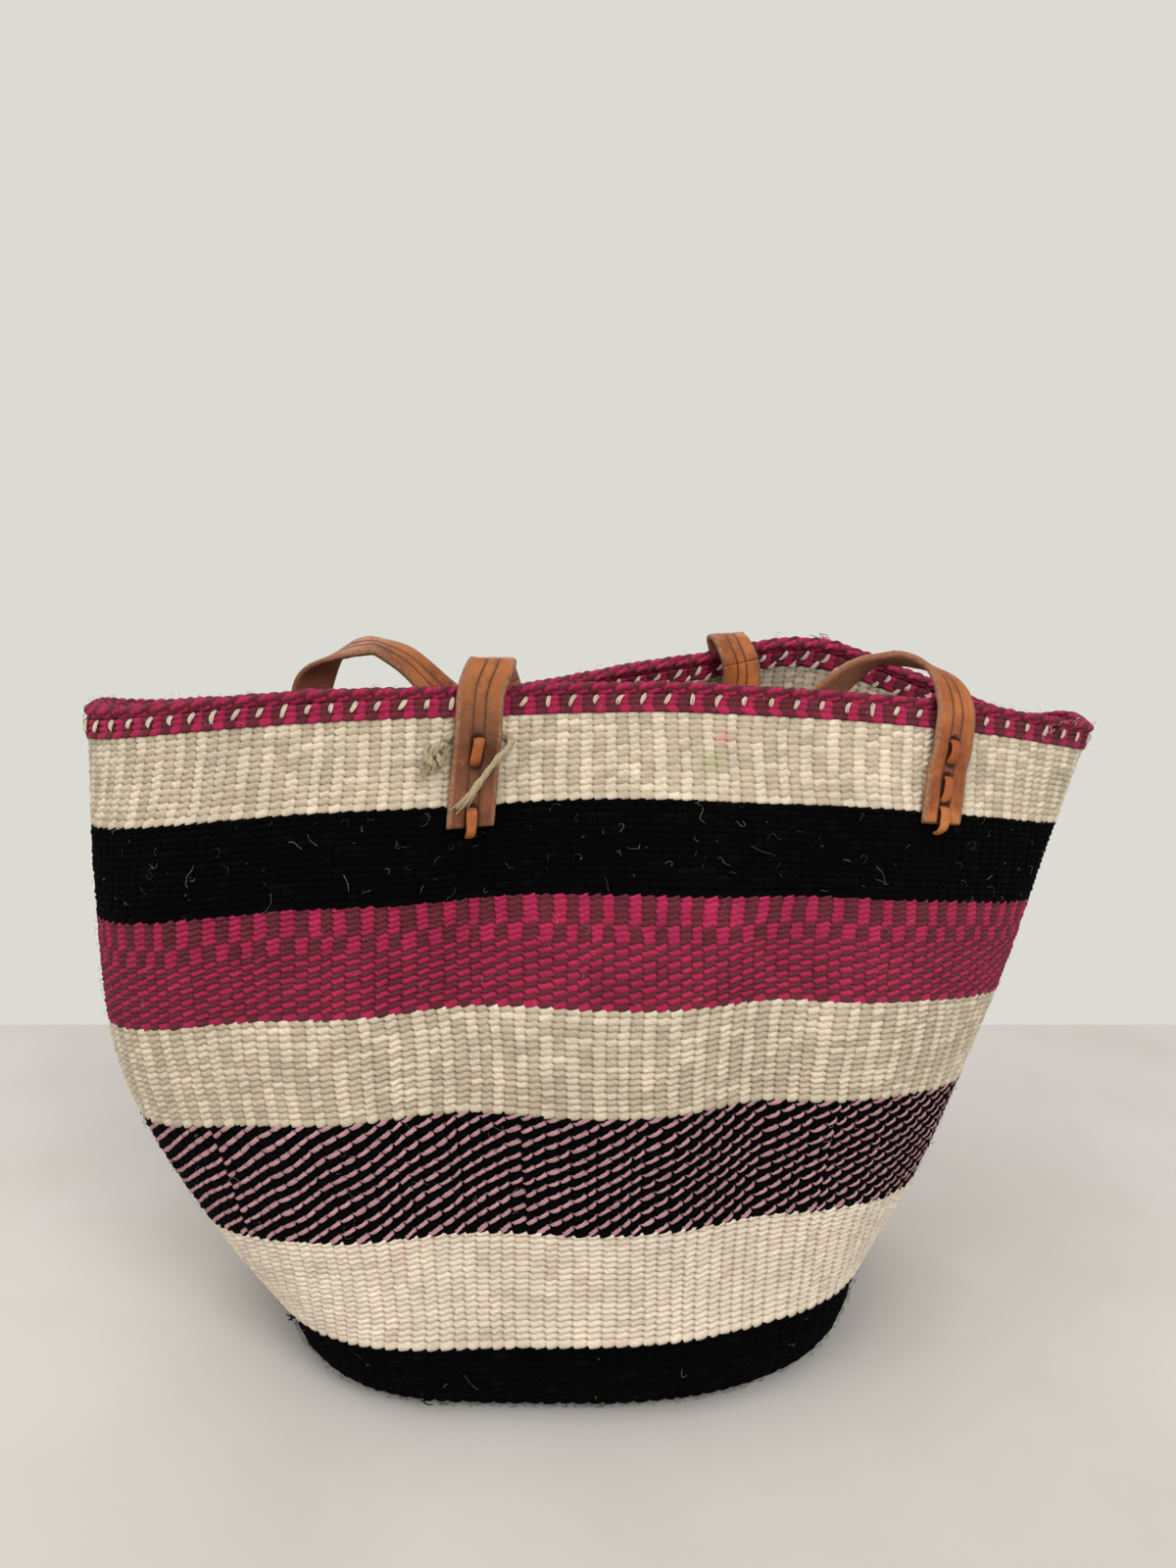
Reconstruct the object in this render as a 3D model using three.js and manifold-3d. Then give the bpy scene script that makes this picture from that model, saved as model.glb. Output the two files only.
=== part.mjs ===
// A soft hand-woven wool basket with two leather strap handles, standing on its round base.
// Millimetres, +Z up, origin at the centre of the base on the floor. The front faces -Y.
// The wall is one curved surface that is flattened and dented by use. A place on it is given by
// v, the fraction of the way round (0.75 is the middle of the front, 0.25 the middle of the back),
// by s, the distance up the wall from the floor, and by d, the distance out of the wall's face.

import * as THREE from "three";
import { mergeVertices } from "three/addons/utils/BufferGeometryUtils.js";
import Module from "manifold-3d";

const wasm = await Module();
wasm.setup();

// Heights of the woven bands along the wall, from the floor up.
const BASE_BAND_HEIGHT = 38;
const LOWER_CREAM_HEIGHT = 48;
const BLACK_PINK_HEIGHT = 55;
const MIDDLE_CREAM_HEIGHT = 45;
const PINK_HEIGHT = 46;
const BLACK_HEIGHT = 40;
const UPPER_CREAM_HEIGHT = 38;
const RIM_BAND_HEIGHT = 7;
const BRAID_HEIGHT = 7;

// Thicknesses of the weave, and how far the rim stands out of the wall's face.
const WALL_THICKNESS = 5;
const BASE_THICKNESS = 5;
const RIM_BAND_THICKNESS = 8;
const RIM_BAND_PROUD = 1;
const BRAID_THICKNESS = 9;
const BRAID_PROUD = 1.5;
const SEAM_GAP = 0.3;

// The wall's sections at the floor, a quarter, half and three quarters of the way up, and the rim.
const HALF_WIDTH = [115, 161, 188.5, 209.5, 228.5];
const HALF_DEPTH = [127, 94, 92, 77.5, 49.5];
const SHIFT_X = [0, -6.5, -10, 5, 23.5];
const SHIFT_Y = [0, -17.5, -26, -12, 2];
const TURN_DEGREES = [4.7, 1.3, 1, 7.5, 10.1];
const RISE = [0, 64.3, 141, 213, 285];
const SQUARENESS = [2.87, 2.79, 2.7, 2.62, 2.54];

// How a level line of the weave rises and falls round the wall: once round, then twice round.
const LEAN_RIGHT = [0, 3.6, 4, -5.4, -10.7];
const LEAN_BACK = [0, -7, -6.7, -1.3, 2.7];
const SADDLE = [0, -4, -6.3, -9.8, -10.9];
const SADDLE_SKEW = [0, -5.1, -4.8, -0.5, 0.3];

// The heel is where the wall curves under to the base.
const HEEL_LENGTH = 28;
const HEEL_INSET = 17;

// Hollows pressed into the front wall: depth, place across, half width, height up, half height.
const FRONT_HOLLOWS = [
  [12.5, -121, 45, 176, 92],
  [14, -38, 38, 172, 114],
  [10, 5, 46, 284, 105],
  [9, 83, 25, 157, 86],
];

// Where the rear rim sags or stands up: lift, place across, half width.
const REAR_RIM_LIFTS = [
  [-24, -95, 110],
  [10, 104, 40],
  [-9, 208, 42],
];

// The leather straps.
const STRAP_WIDTH = 19;
const STRAP_THICKNESS = 3;
const STRAP_GAP = 0.8;
const STRAP_LIFT_AT_RIM = 2.2;
// The stretch below the rim over which a tab lifts off the wall.
const STRAP_LIFT_ZONE = [20, 11];
// How far each tab leans sideways over the length of a fold tab.
const FOLD_TAB_LEAN = 2.5;
const ARCH_TAB_LEAN = 5.5;
const FOLD_PULL = [11, 6];
const ARCH_PULL = [24, 15];
const LOOP_DROP = 70;
// How far below the rim each tab ends.
const FOLD_TAB_REACH = 48;
const ARCH_TAB_REACH = 44;
// Places round the wall, the crests' rises and shifts, how far the loop slides along the hinge line
// below the fold, and how many degrees its outer edge is turned up at most.
const FRONT_STRAP = {
  foldAt: 0.7107,
  foldRise: 9.8,
  foldShift: 6.5,
  foldSlide: 6,
  archAt: 0.9073,
  archRise: 16.7,
  archReach: 23,
  archIn: 15,
  tilt: 74,
};
const REAR_STRAP = {
  foldAt: 0.173,
  foldRise: 6,
  foldShift: 2.9,
  foldSlide: -7,
  archAt: 0.3855,
  archRise: 25,
  archReach: 29,
  archIn: 15,
  tilt: 56,
};

// The loop that hangs inside, from the fold to the arch. Near the fold and near the lowest place
// each row gives the way along the hinge line, inward, the share of the drop, the twist in degrees,
// the share of the tilt and the share of the slide. On the way up to the arch the first number is a
// share of the hinge line's length.
const LOOP_DOWN = [
  [0, 5, 0.018, 0, 0, 0],
  [0.5, 9.5, 0.072, 0, 0, 0.15],
  [1, 12, 0.164, 0, 0, 0.5],
  [3, 11.5, 0.343, 15, 0, 0.9],
  [8, 9, 0.56, 45, 0, 0.9],
  [19, 6, 0.82, 75, 0, 0.5],
  [37, 4, 1, 90, 0.08, 0.2],
  [60, 3, 0.98, 90, 0.25, 0],
];
const LOOP_RISE = [
  [0.5, 4, 0.87, 90, 0.6, 0],
  [0.66, 5, 0.65, 90, 1, 0],
  [0.82, 4, 0.34, 90, 0.93, 0],
  [0.92, 2, 0.1, 90, 0.68, 0],
];
// The share of the tilt at the arch's crest.
const CREST_TILT = 0.28;

// The flat leather laces, each with a knot inside the wall. How far below the rim a lace comes out
// and goes in again.
const LACE_WIDTH = 5;
const LACE_THICKNESS = 1.6;
const LACE_CLEARANCE = 0.4;
const FOLD_STITCHES = [[11.5, 22], [40.5, 51.5]];
const ARCH_STITCHES = [[7.5, 17], [23.5, 34], [37, 47.5]];
const KNOT_LENGTH = 6;
const KNOT_DEPTH = 4.4;
// The knot seen from its edge, as shares of its length and depth.
const KNOT_SHAPE = [
  [0.85, 0],
  [1, 0.4],
  [0.85, 0.9],
  [0.4, 1],
  [0, 0.85],
];
const SLIT_REACH = 3;

// The jute twine tied behind the front fold tab.
const TWINE_DIAMETER = 2.4;
const TWINE_KNOT = [12, 12, 7];
// How far beyond the twine's first point the middle of the knot lies.
const TWINE_KNOT_OFFSET = 3;
// Places along the twine: round from the tab's middle, down from the rim, out of the wall's face.
const TWINE_ROUTE = [
  [-13, 11.5, 3.4],
  [-11.3, 10, 2.2],
  [-8.5, 8.8, 1.6],
  [-4, 8.2, 1.5],
  [4, 8.2, 1.5],
  [9, 8.6, 1.6],
  [12.6, 10.2, 2.4],
  [13.4, 13, 4.6],
  [12.2, 16.3, 6.6],
  [8.5, 20, 6.8],
  [4.5, 25.5, 5.8],
  [1, 31, 5.6],
  [-2.5, 37, 5.7],
];

// How finely the solids are drawn.
const SEGMENTS_ROUND = 64;
const RING_POINTS = 360;
const TAB_STEP = 2.4;
const LOOP_STEP = 6;
const FOLD_STEPS = 7;
const ARCH_STEPS = 10;
const TWINE_STEPS = 30;

const BAND_TOPS = [];
[
  BASE_BAND_HEIGHT,
  LOWER_CREAM_HEIGHT,
  BLACK_PINK_HEIGHT,
  MIDDLE_CREAM_HEIGHT,
  PINK_HEIGHT,
  BLACK_HEIGHT,
  UPPER_CREAM_HEIGHT,
  RIM_BAND_HEIGHT,
  BRAID_HEIGHT,
].reduce((sum, height) => {
  BAND_TOPS.push(sum + height);
  return sum + height;
}, 0);
const WALL_LENGTH = BAND_TOPS[8];
const RIM_FOOT = BAND_TOPS[6];
const FOLD_TAB_END = RIM_FOOT - FOLD_TAB_REACH;
const ARCH_TAB_END = RIM_FOOT - ARCH_TAB_REACH;

const UP = new THREE.Vector3(0, 0, 1);

// A smooth curve through evenly spaced values, at t from 0 to 1.
function along(values, t) {
  const last = values.length - 1;
  const x = THREE.MathUtils.clamp(t, 0, 1) * last;
  const i = Math.min(Math.floor(x), last - 1);
  const f = x - i;
  const a = i > 0 ? values[i - 1] : 2 * values[0] - values[1];
  const b = values[i];
  const c = values[i + 1];
  const d = i + 2 <= last ? values[i + 2] : 2 * values[last] - values[last - 1];
  const linear = (c - a) * f;
  const square = (2 * a - 5 * b + 4 * c - d) * f * f;
  const cube = (3 * b - a - 3 * c + d) * f * f * f;
  return 0.5 * (2 * b + linear + square + cube);
}

const bell = (x, middle, half) => Math.exp(-(((x - middle) / half) ** 2));
const roundedPower = (x, power) => Math.sign(x) * Math.abs(x) ** power;

// The wall's face at angle u round its section, s up from the floor and above the heel.
function section(u, s) {
  const t = s / WALL_LENGTH;
  const power = 2 / along(SQUARENESS, t);
  const c = Math.cos(u);
  const k = Math.sin(u);
  const across = along(HALF_WIDTH, t) * roundedPower(c, power);
  let deep = along(HALF_DEPTH, t) * roundedPower(k, power);
  const front = THREE.MathUtils.smoothstep(-2 * k, 0, 1);
  const rear = THREE.MathUtils.smoothstep(2 * k, 0, 1);
  for (const [depth, x, halfWidth, height, halfHeight] of FRONT_HOLLOWS) {
    deep += depth * front * bell(across, x, halfWidth) * bell(s, height, halfHeight);
  }
  let z = along(RISE, t) + along(LEAN_RIGHT, t) * c + along(LEAN_BACK, t) * k;
  z += along(SADDLE, t) * Math.cos(2 * u) + along(SADDLE_SKEW, t) * Math.sin(2 * u);
  for (const [lift, x, halfWidth] of REAR_RIM_LIFTS) {
    z += lift * rear * bell(across, x, halfWidth) * t ** 3;
  }
  const turn = THREE.MathUtils.degToRad(along(TURN_DEGREES, t));
  const x = along(SHIFT_X, t) + across * Math.cos(turn) - deep * Math.sin(turn);
  const y = along(SHIFT_Y, t) + across * Math.sin(turn) + deep * Math.cos(turn);
  return new THREE.Vector3(x, y, z);
}

// One level of the wall with its lengths, and where it passes x = 0 at the front and at the back.
const levels = new Map();
function level(s) {
  if (levels.has(s)) return levels.get(s);
  const points = [];
  const lengths = [0];
  for (let i = 0; i <= RING_POINTS; i++) {
    points.push(section((i / RING_POINTS) * 2 * Math.PI, s));
    if (i > 0) lengths.push(lengths[i - 1] + points[i].distanceTo(points[i - 1]));
  }
  const crossing = (from) => {
    let i = from;
    while (points[i].x * points[i + 1].x > 0) i++;
    const share = points[i].x / (points[i].x - points[i + 1].x);
    return lengths[i] + share * (lengths[i + 1] - lengths[i]);
  };
  const total = lengths[RING_POINTS];
  const front = crossing(RING_POINTS / 2);
  const slip = crossing(0) - (front - total / 2);
  const made = { lengths, total, front, slip };
  levels.set(s, made);
  return made;
}

// The length once round, as it would be if the spacing were everywhere that at v.
function lengthRound(v, s) {
  const { total, slip } = level(s);
  return total + slip * Math.PI * Math.sin(2 * Math.PI * (v - 0.75));
}

function levelPoint(v, s) {
  const { lengths, total, front, slip } = level(s);
  const past = v - 0.75;
  const far = (1 - Math.cos(2 * Math.PI * past)) / 2;
  const wanted = THREE.MathUtils.euclideanModulo(front + past * total + far * slip, total);
  let low = 0;
  let high = RING_POINTS;
  while (high - low > 1) {
    const middle = (low + high) >> 1;
    if (lengths[middle] <= wanted) low = middle;
    else high = middle;
  }
  const share = (wanted - lengths[low]) / (lengths[high] - lengths[low]);
  return section(((low + share) / RING_POINTS) * 2 * Math.PI, s);
}

// The wall's face, with the heel curving under as a quarter of an ellipse.
function face(v, s) {
  if (s >= HEEL_LENGTH) return levelPoint(v, s);
  const point = levelPoint(v, HEEL_LENGTH);
  const ahead = levelPoint(v + 0.002, HEEL_LENGTH);
  const inward = UP.clone().cross(ahead.sub(point).setZ(0).normalize());
  const angle = (1 - s / HEEL_LENGTH) * (Math.PI / 2);
  point.addScaledVector(inward, HEEL_INSET * (1 - Math.cos(angle)));
  point.z *= 1 - Math.sin(angle);
  return point;
}

// The directions on the wall at a place: round it, up it and out of it.
function directions(v, s) {
  const round = face(v + 0.001, s).sub(face(v - 0.001, s)).normalize();
  const low = Math.max(s - 0.5, 0);
  const up = face(v, low + 1).sub(face(v, low));
  const out = round.clone().cross(up).normalize();
  up.copy(out).cross(round);
  return { round, up, out };
}

function onWall(v, s, d) {
  return face(v, s).addScaledVector(directions(v, s).out, d);
}

// A closed mesh from a grid of points that closes on itself across, and along where asked.
// A turned side is split along its other diagonal.
function gridGeometry(rows, closedAlong, turned = []) {
  const across = rows[0].length;
  const positions = rows.flat().flatMap((p) => [p.x, p.y, p.z]);
  const faces = [];
  const last = closedAlong ? rows.length : rows.length - 1;
  for (let i = 0; i < last; i++) {
    const next = (i + 1) % rows.length;
    for (let j = 0; j < across; j++) {
      const side = (j + 1) % across;
      const a = i * across + j;
      const b = next * across + j;
      const c = next * across + side;
      const d = i * across + side;
      if (turned[j]) faces.push(a, b, d, b, c, d);
      else faces.push(a, b, c, a, c, d);
    }
  }
  if (!closedAlong) {
    const end = (rows.length - 1) * across;
    for (let j = 1; j < across - 1; j++) {
      faces.push(0, j, j + 1, end, end + j + 1, end + j);
    }
  }
  const geometry = new THREE.BufferGeometry();
  geometry.setAttribute("position", new THREE.Float32BufferAttribute(positions, 3));
  geometry.setIndex(faces);
  return geometry;
}

// A ring of the wall from a closed outline of [s, d] corners, counted up the outer face first.
// Its underside is split the way the top of the ring below is, so that the seam stays even.
function ringGeometry(outline) {
  const rows = [];
  const turned = outline.map(([, d], j) => outline[(j + 1) % outline.length][1] > d);
  for (let i = 0; i < SEGMENTS_ROUND; i++) {
    rows.push(outline.map(([s, d]) => onWall(i / SEGMENTS_ROUND, s, d)));
  }
  return gridGeometry(rows, true, turned);
}

function bandOutline(from, to, proud, thickness, steps) {
  const low = from + SEAM_GAP / 2;
  const high = to - SEAM_GAP / 2;
  const heights = [];
  for (let i = 0; i <= steps; i++) heights.push(low + ((high - low) * i) / steps);
  const outer = heights.map((s) => [s, proud]);
  const inner = heights.reverse().map((s) => [s, proud - thickness]);
  return outer.concat(inner);
}

// Booleans, for slits and for pieces that are joined from simple solids.
function solidOf(geometry) {
  const bare = geometry.clone();
  bare.deleteAttribute("normal");
  bare.deleteAttribute("uv");
  const merged = mergeVertices(bare, 1e-4);
  return new wasm.Manifold(
    new wasm.Mesh({
      numProp: 3,
      vertProperties: new Float32Array(merged.attributes.position.array),
      triVerts: new Uint32Array(merged.index.array),
    }),
  );
}

function geometryOf(solid) {
  const mesh = solid.getMesh();
  const geometry = new THREE.BufferGeometry();
  geometry.setAttribute("position", new THREE.Float32BufferAttribute(mesh.vertProperties, 3));
  geometry.setIndex([...mesh.triVerts]);
  return geometry;
}

// Bends a geometry drawn flat, with x round the wall, y up it and z out of it, onto the wall.
// lean is how far x moves per unit of y, so that a piece can slope.
function bendOntoWall(geometry, at, base, lean) {
  const position = geometry.getAttribute("position");
  const p = new THREE.Vector3();
  for (let i = 0; i < position.count; i++) {
    p.fromBufferAttribute(position, i);
    const round = p.x + lean * (p.y - base);
    const bent = onWall(at + round / lengthRound(at, p.y), p.y, p.z);
    position.setXYZ(i, bent.x, bent.y, bent.z);
  }
  return geometry;
}

// A strip of leather along points. Each has the direction of its width, the angle by which that is
// tilted, and, where the strip's end is cut square to something else, the direction that it faces.
function stripGeometry(stations) {
  const last = stations.length - 1;
  const rows = stations.map(({ point, width, facing, tilt = 0 }, i) => {
    const before = stations[Math.max(i - 1, 0)].point;
    const after = stations[Math.min(i + 1, last)].point;
    const ahead = facing ?? after.clone().sub(before).normalize();
    const w = width.clone().addScaledVector(ahead, -width.dot(ahead)).normalize();
    const level = w.clone().cross(ahead);
    w.multiplyScalar(Math.cos(tilt)).addScaledVector(level, Math.sin(tilt));
    const grain = w.clone().cross(ahead);
    const halfWidth = STRAP_WIDTH / 2;
    const half = STRAP_THICKNESS / 2;
    return [[-1, 1], [-1, -1], [1, -1], [1, 1]].map(([a, b]) =>
      point.clone().addScaledVector(w, a * halfWidth).addScaledVector(grain, b * half),
    );
  });
  return gridGeometry(rows, false);
}

// How far the middle of a tab lies out of the wall: it lifts over the rim and the twine.
function tabDistance(s) {
  const lying = STRAP_GAP + STRAP_THICKNESS / 2;
  const [start, end] = STRAP_LIFT_ZONE;
  return lying + STRAP_LIFT_AT_RIM * THREE.MathUtils.smoothstep(s, RIM_FOOT - start, RIM_FOOT - end);
}

const tabTop = RIM_FOOT + RIM_BAND_HEIGHT / 2;

function tabPlace(at, s, lean) {
  return at + (lean * (s - tabTop)) / (tabTop - FOLD_TAB_END) / lengthRound(at, s);
}

// A tab from its end, which is cut along the rows of the weave, up to the rim.
function tabStations(at, end, lean) {
  const stations = [];
  const steps = Math.ceil((tabTop - end) / TAB_STEP);
  for (let i = 0; i <= steps; i++) {
    const s = end + ((tabTop - end) * i) / steps;
    const v = tabPlace(at, s, lean);
    const { round, up } = directions(v, s);
    stations.push({ point: onWall(v, s, tabDistance(s)), width: round, facing: i === 0 ? up : null });
  }
  return stations;
}

// A bent stretch whose width turns from one direction to another and which tilts as it goes. Its
// end comes to face the given way.
function bezierStations(start, startPull, endPull, end, fromWidth, toWidth, endFacing, tilt, steps) {
  const curve = new THREE.CubicBezierCurve3(start, startPull, endPull, end);
  const stations = [];
  for (let i = 1; i <= steps; i++) {
    const t = i / steps;
    const turned = THREE.MathUtils.smoothstep(t, 0, 1);
    const width = fromWidth.clone().lerp(toWidth, turned);
    const facing = curve.getTangent(t).lerp(endFacing, turned ** 2).normalize();
    stations.push({ point: curve.getPoint(t), width, facing, tilt: tilt * turned ** 2 });
  }
  return stations;
}

// Everything about one handle: its two crests, the hinge line between them, and its strips.
function layStrap(sizes) {
  const { foldAt, foldRise, foldShift, foldSlide, archAt, archRise, archReach, archIn } = sizes;
  const mostTilt = THREE.MathUtils.degToRad(sizes.tilt);
  const rimTop = WALL_LENGTH;
  const rimMiddle = BRAID_PROUD - BRAID_THICKNESS / 2;
  const half = STRAP_THICKNESS / 2;
  const foldCrest = onWall(foldAt, rimTop, rimMiddle)
    .addScaledVector(UP, foldRise)
    .addScaledVector(directions(foldAt, rimTop).round, foldShift);
  const archFrame = directions(archAt, rimTop);
  const archCrest = onWall(archAt, rimTop, rimMiddle)
    .addScaledVector(archFrame.round, -archReach)
    .addScaledVector(archFrame.out.clone().setZ(0).normalize(), -archIn);
  archCrest.z = face(archAt, rimTop).z + archRise;
  const axis = archCrest.clone().sub(foldCrest);
  const span = axis.length();
  axis.normalize();
  const inward = UP.clone().cross(axis).normalize();
  const up = axis.clone().cross(inward);
  const hinge = foldCrest.clone().addScaledVector(up, half + SEAM_GAP / 2);

  const foldTab = tabStations(foldAt, FOLD_TAB_END, FOLD_TAB_LEAN);
  const foldEnd = foldCrest.clone().addScaledVector(inward, -SEAM_GAP / 2);
  const foldTop = foldTab[foldTab.length - 1];
  const foldUp = directions(foldAt, tabTop).up;
  const fold = foldTab.concat(
    bezierStations(
      foldTop.point,
      foldTop.point.clone().addScaledVector(foldUp, FOLD_PULL[0]),
      foldEnd.clone().addScaledVector(inward, -FOLD_PULL[1]),
      foldEnd,
      foldTop.width,
      axis,
      inward,
      0,
      FOLD_STEPS,
    ),
  );

  const archTab = tabStations(archAt, ARCH_TAB_END, ARCH_TAB_LEAN);
  const archTop = archTab[archTab.length - 1];
  const archEnd = archCrest.clone().addScaledVector(axis, SEAM_GAP / 2);
  const archUp = directions(archAt, tabTop).up;
  const arch = archTab.concat(
    bezierStations(
      archTop.point,
      archTop.point.clone().addScaledVector(archUp, ARCH_PULL[0]),
      archEnd.clone().addScaledVector(axis, ARCH_PULL[1]),
      archEnd,
      archTop.width,
      inward,
      axis.clone().negate(),
      -mostTilt * CREST_TILT,
      ARCH_STEPS,
    ),
  );

  const route = [
    [0, SEAM_GAP / 2, 0, 0, 0, 0],
    ...LOOP_DOWN,
    ...LOOP_RISE.map(([share, ...rest]) => [share * span, ...rest]),
    [span - SEAM_GAP / 2, 0, 0, 90, CREST_TILT, 0],
  ];
  const middle = new THREE.CatmullRomCurve3(
    route.map(([far, within, drop, , , slide]) =>
      foldCrest
        .clone()
        .addScaledVector(axis, far + slide * foldSlide)
        .addScaledVector(inward, within)
        .addScaledVector(up, -drop * LOOP_DROP),
    ),
    false,
    "centripetal",
  );
  const loop = [];
  const steps = Math.ceil(middle.getLength() / LOOP_STEP);
  for (let i = 0; i <= steps; i++) {
    const t = middle.getUtoTmapping(i / steps);
    const twist = along(route.map(([, , , degrees]) => degrees), t);
    const tilt = along(route.map(([, , , , share]) => share), t) * mostTilt;
    const turn = THREE.MathUtils.degToRad(twist);
    const width = axis.clone().multiplyScalar(Math.cos(turn));
    width.addScaledVector(inward, -Math.sin(turn));
    loop.push({ point: middle.getPoint(t), width, tilt });
  }
  loop[0].facing = inward;
  loop[loop.length - 1].facing = axis;
  return { fold, arch, loop, hinge, axis };
}

// The outline of a lace seen from its edge, as [s, d] corners: a flat band of leather that goes out
// and in through the wall, and has a knot at each end inside the wall.
function laceOutline(stitches) {
  const half = LACE_THICKNESS / 2;
  const inside = -WALL_THICKNESS - LACE_CLEARANCE - half;
  const outside = (s) => [s, tabDistance(s) + STRAP_THICKNESS / 2 + STRAP_GAP + half];
  const path = stitches.flatMap(([high, low]) => [
    [high, inside],
    outside(high),
    outside((high + low) / 2),
    outside(low),
    [low, inside],
  ]);
  const [top, bottom] = [path[0], path[path.length - 1]];
  const line = [[top[0] + KNOT_LENGTH, inside], ...path, [bottom[0] - KNOT_LENGTH, inside]];
  const side = (sign) =>
    path.map(([s, d], i) => {
      const [before, after] = [line[i], line[i + 2]];
      const a = new THREE.Vector2(before[1] - d, s - before[0]).normalize();
      const b = new THREE.Vector2(d - after[1], after[0] - s).normalize();
      const share = (sign * half) / (1 + a.dot(b));
      return [s + (a.x + b.x) * share, d + (a.y + b.y) * share];
    });
  const knotAt = (end, way) =>
    KNOT_SHAPE.map(([s, d]) => [end + way * s * KNOT_LENGTH, inside + half - d * KNOT_DEPTH]);
  const topKnot = knotAt(top[0], 1);
  const bottomKnot = knotAt(bottom[0], -1).reverse();
  return [...topKnot, ...side(1), ...bottomKnot, ...side(-1).reverse()];
}

// One lace, drawn flat and bent onto the wall, with the slits that it needs.
function layLace(at, depths, tabLean) {
  const stitches = depths.map((pair) => pair.map((depth) => RIM_FOOT - depth));
  const lean = tabLean / (tabTop - FOLD_TAB_END);
  const shape = new THREE.Shape(laceOutline(stitches).map(([s, d]) => new THREE.Vector2(s, d)));
  const lace = new THREE.ExtrudeGeometry(shape, { depth: LACE_WIDTH, bevelEnabled: false });
  lace.translate(0, 0, -LACE_WIDTH / 2);
  const toFlat = new THREE.Matrix4().makeBasis(
    new THREE.Vector3(0, 1, 0),
    new THREE.Vector3(0, 0, 1),
    new THREE.Vector3(1, 0, 0),
  );
  lace.applyMatrix4(toFlat);
  bendOntoWall(lace, at, tabTop, lean);
  const slits = stitches.flat().map((s) => {
    const outward = STRAP_THICKNESS + STRAP_LIFT_AT_RIM;
    const deep = WALL_THICKNESS + outward + 2 * SLIT_REACH;
    const high = LACE_THICKNESS + 2 * LACE_CLEARANCE;
    const slit = new THREE.BoxGeometry(LACE_WIDTH + 2 * LACE_CLEARANCE, high, deep);
    slit.translate(0, s, (outward - WALL_THICKNESS) / 2);
    return solidOf(bendOntoWall(slit, at, tabTop, lean));
  });
  return { lace, slits: slits.reduce((a, b) => a.add(b)) };
}

const group = new THREE.Group();

function addPiece(name, geometry, color, roughness = 0.95) {
  const material = new THREE.MeshStandardMaterial({ color, roughness, metalness: 0 });
  geometry.computeVertexNormals();
  const mesh = new THREE.Mesh(geometry, material);
  mesh.name = name;
  group.add(mesh);
}

// Colours as the eye sees them.
const CREAM = 0xceb996;
const PALE_CREAM = 0xdfccb4;
const BLACK = 0x0c0d0d;
const BLACK_AND_PINK = 0x5a4347;
const PINK = 0x83293d;
const RIM = 0x8c3d4b;
const LEATHER = 0x9a5c38;
const LACE = 0xa4643a;
const TWINE = 0x8f7858;

// The base is a flat round of weave inside the heel.
const outline = [];
for (let i = 0; i < SEGMENTS_ROUND; i++) {
  const v = -i / SEGMENTS_ROUND;
  const point = face(v, 0);
  const outward = directions(v, HEEL_LENGTH).out.setZ(0).normalize();
  point.addScaledVector(outward, -SEAM_GAP);
  outline.push(new THREE.Vector2(point.x, point.y));
}
const baseShape = new THREE.Shape(outline);
const base = new THREE.ExtrudeGeometry(baseShape, { depth: BASE_THICKNESS, bevelEnabled: false });
addPiece("base_disc", base, BLACK);

// The laces cut their slits through the two upper bands and the tabs.
const straps = [
  ["front", FRONT_STRAP],
  ["rear", REAR_STRAP],
].map(([name, sizes]) => ({
  name,
  ...layStrap(sizes),
  foldLace: layLace(sizes.foldAt, FOLD_STITCHES, FOLD_TAB_LEAN),
  archLace: layLace(sizes.archAt, ARCH_STITCHES, ARCH_TAB_LEAN),
}));
const slits = straps.flatMap((strap) => [strap.foldLace.slits, strap.archLace.slits]);

function withSlits(geometry) {
  return geometryOf(slits.reduce((solid, slit) => solid.subtract(slit), solidOf(geometry)));
}

const lowestStitch = RIM_FOOT - Math.max(...FOLD_STITCHES.flat(), ...ARCH_STITCHES.flat());
const bandStart = (i) => (i === 0 ? -SEAM_GAP / 2 : BAND_TOPS[i - 1]);
function addBand(i, name, color, steps) {
  const corners = bandOutline(bandStart(i), BAND_TOPS[i], 0, WALL_THICKNESS, steps);
  const geometry = ringGeometry(corners);
  addPiece(name, BAND_TOPS[i] > lowestStitch - LACE_THICKNESS ? withSlits(geometry) : geometry, color);
}
addBand(0, "base_band", BLACK, 5);
addBand(1, "lower_cream_band", PALE_CREAM, 3);
addBand(2, "black_pink_band", BLACK_AND_PINK, 3);
addBand(3, "middle_cream_band", CREAM, 2);
addBand(4, "pink_band", PINK, 2);
addBand(5, "black_band", BLACK, 3);
addBand(6, "upper_cream_band", CREAM, 4);

// The rim band stands out on both sides of the wall's face, and sits on the whole of its top.
const rimBand = bandOutline(RIM_FOOT, BAND_TOPS[7], RIM_BAND_PROUD, RIM_BAND_THICKNESS, 1);
rimBand.push([rimBand[0][0], -WALL_THICKNESS], [rimBand[0][0], 0]);
addPiece("rim_band", ringGeometry(rimBand), RIM);

// The braid that finishes the rim has a six-sided section, flat at its foot.
const braidOutline = [];
const braidLow = BAND_TOPS[7] + 2 * SEAM_GAP;
const braidHalf = (BAND_TOPS[8] - braidLow) / 2;
for (let i = 0; i < 6; i++) {
  const angle = ((1 - i) * Math.PI) / 3;
  const s = braidLow + braidHalf * (1 - Math.sin(angle) / Math.sin(Math.PI / 3));
  braidOutline.push([s, BRAID_PROUD - (BRAID_THICKNESS / 2) * (1 - Math.cos(angle))]);
}
addPiece("rim_braid", ringGeometry(braidOutline), RIM);

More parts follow.
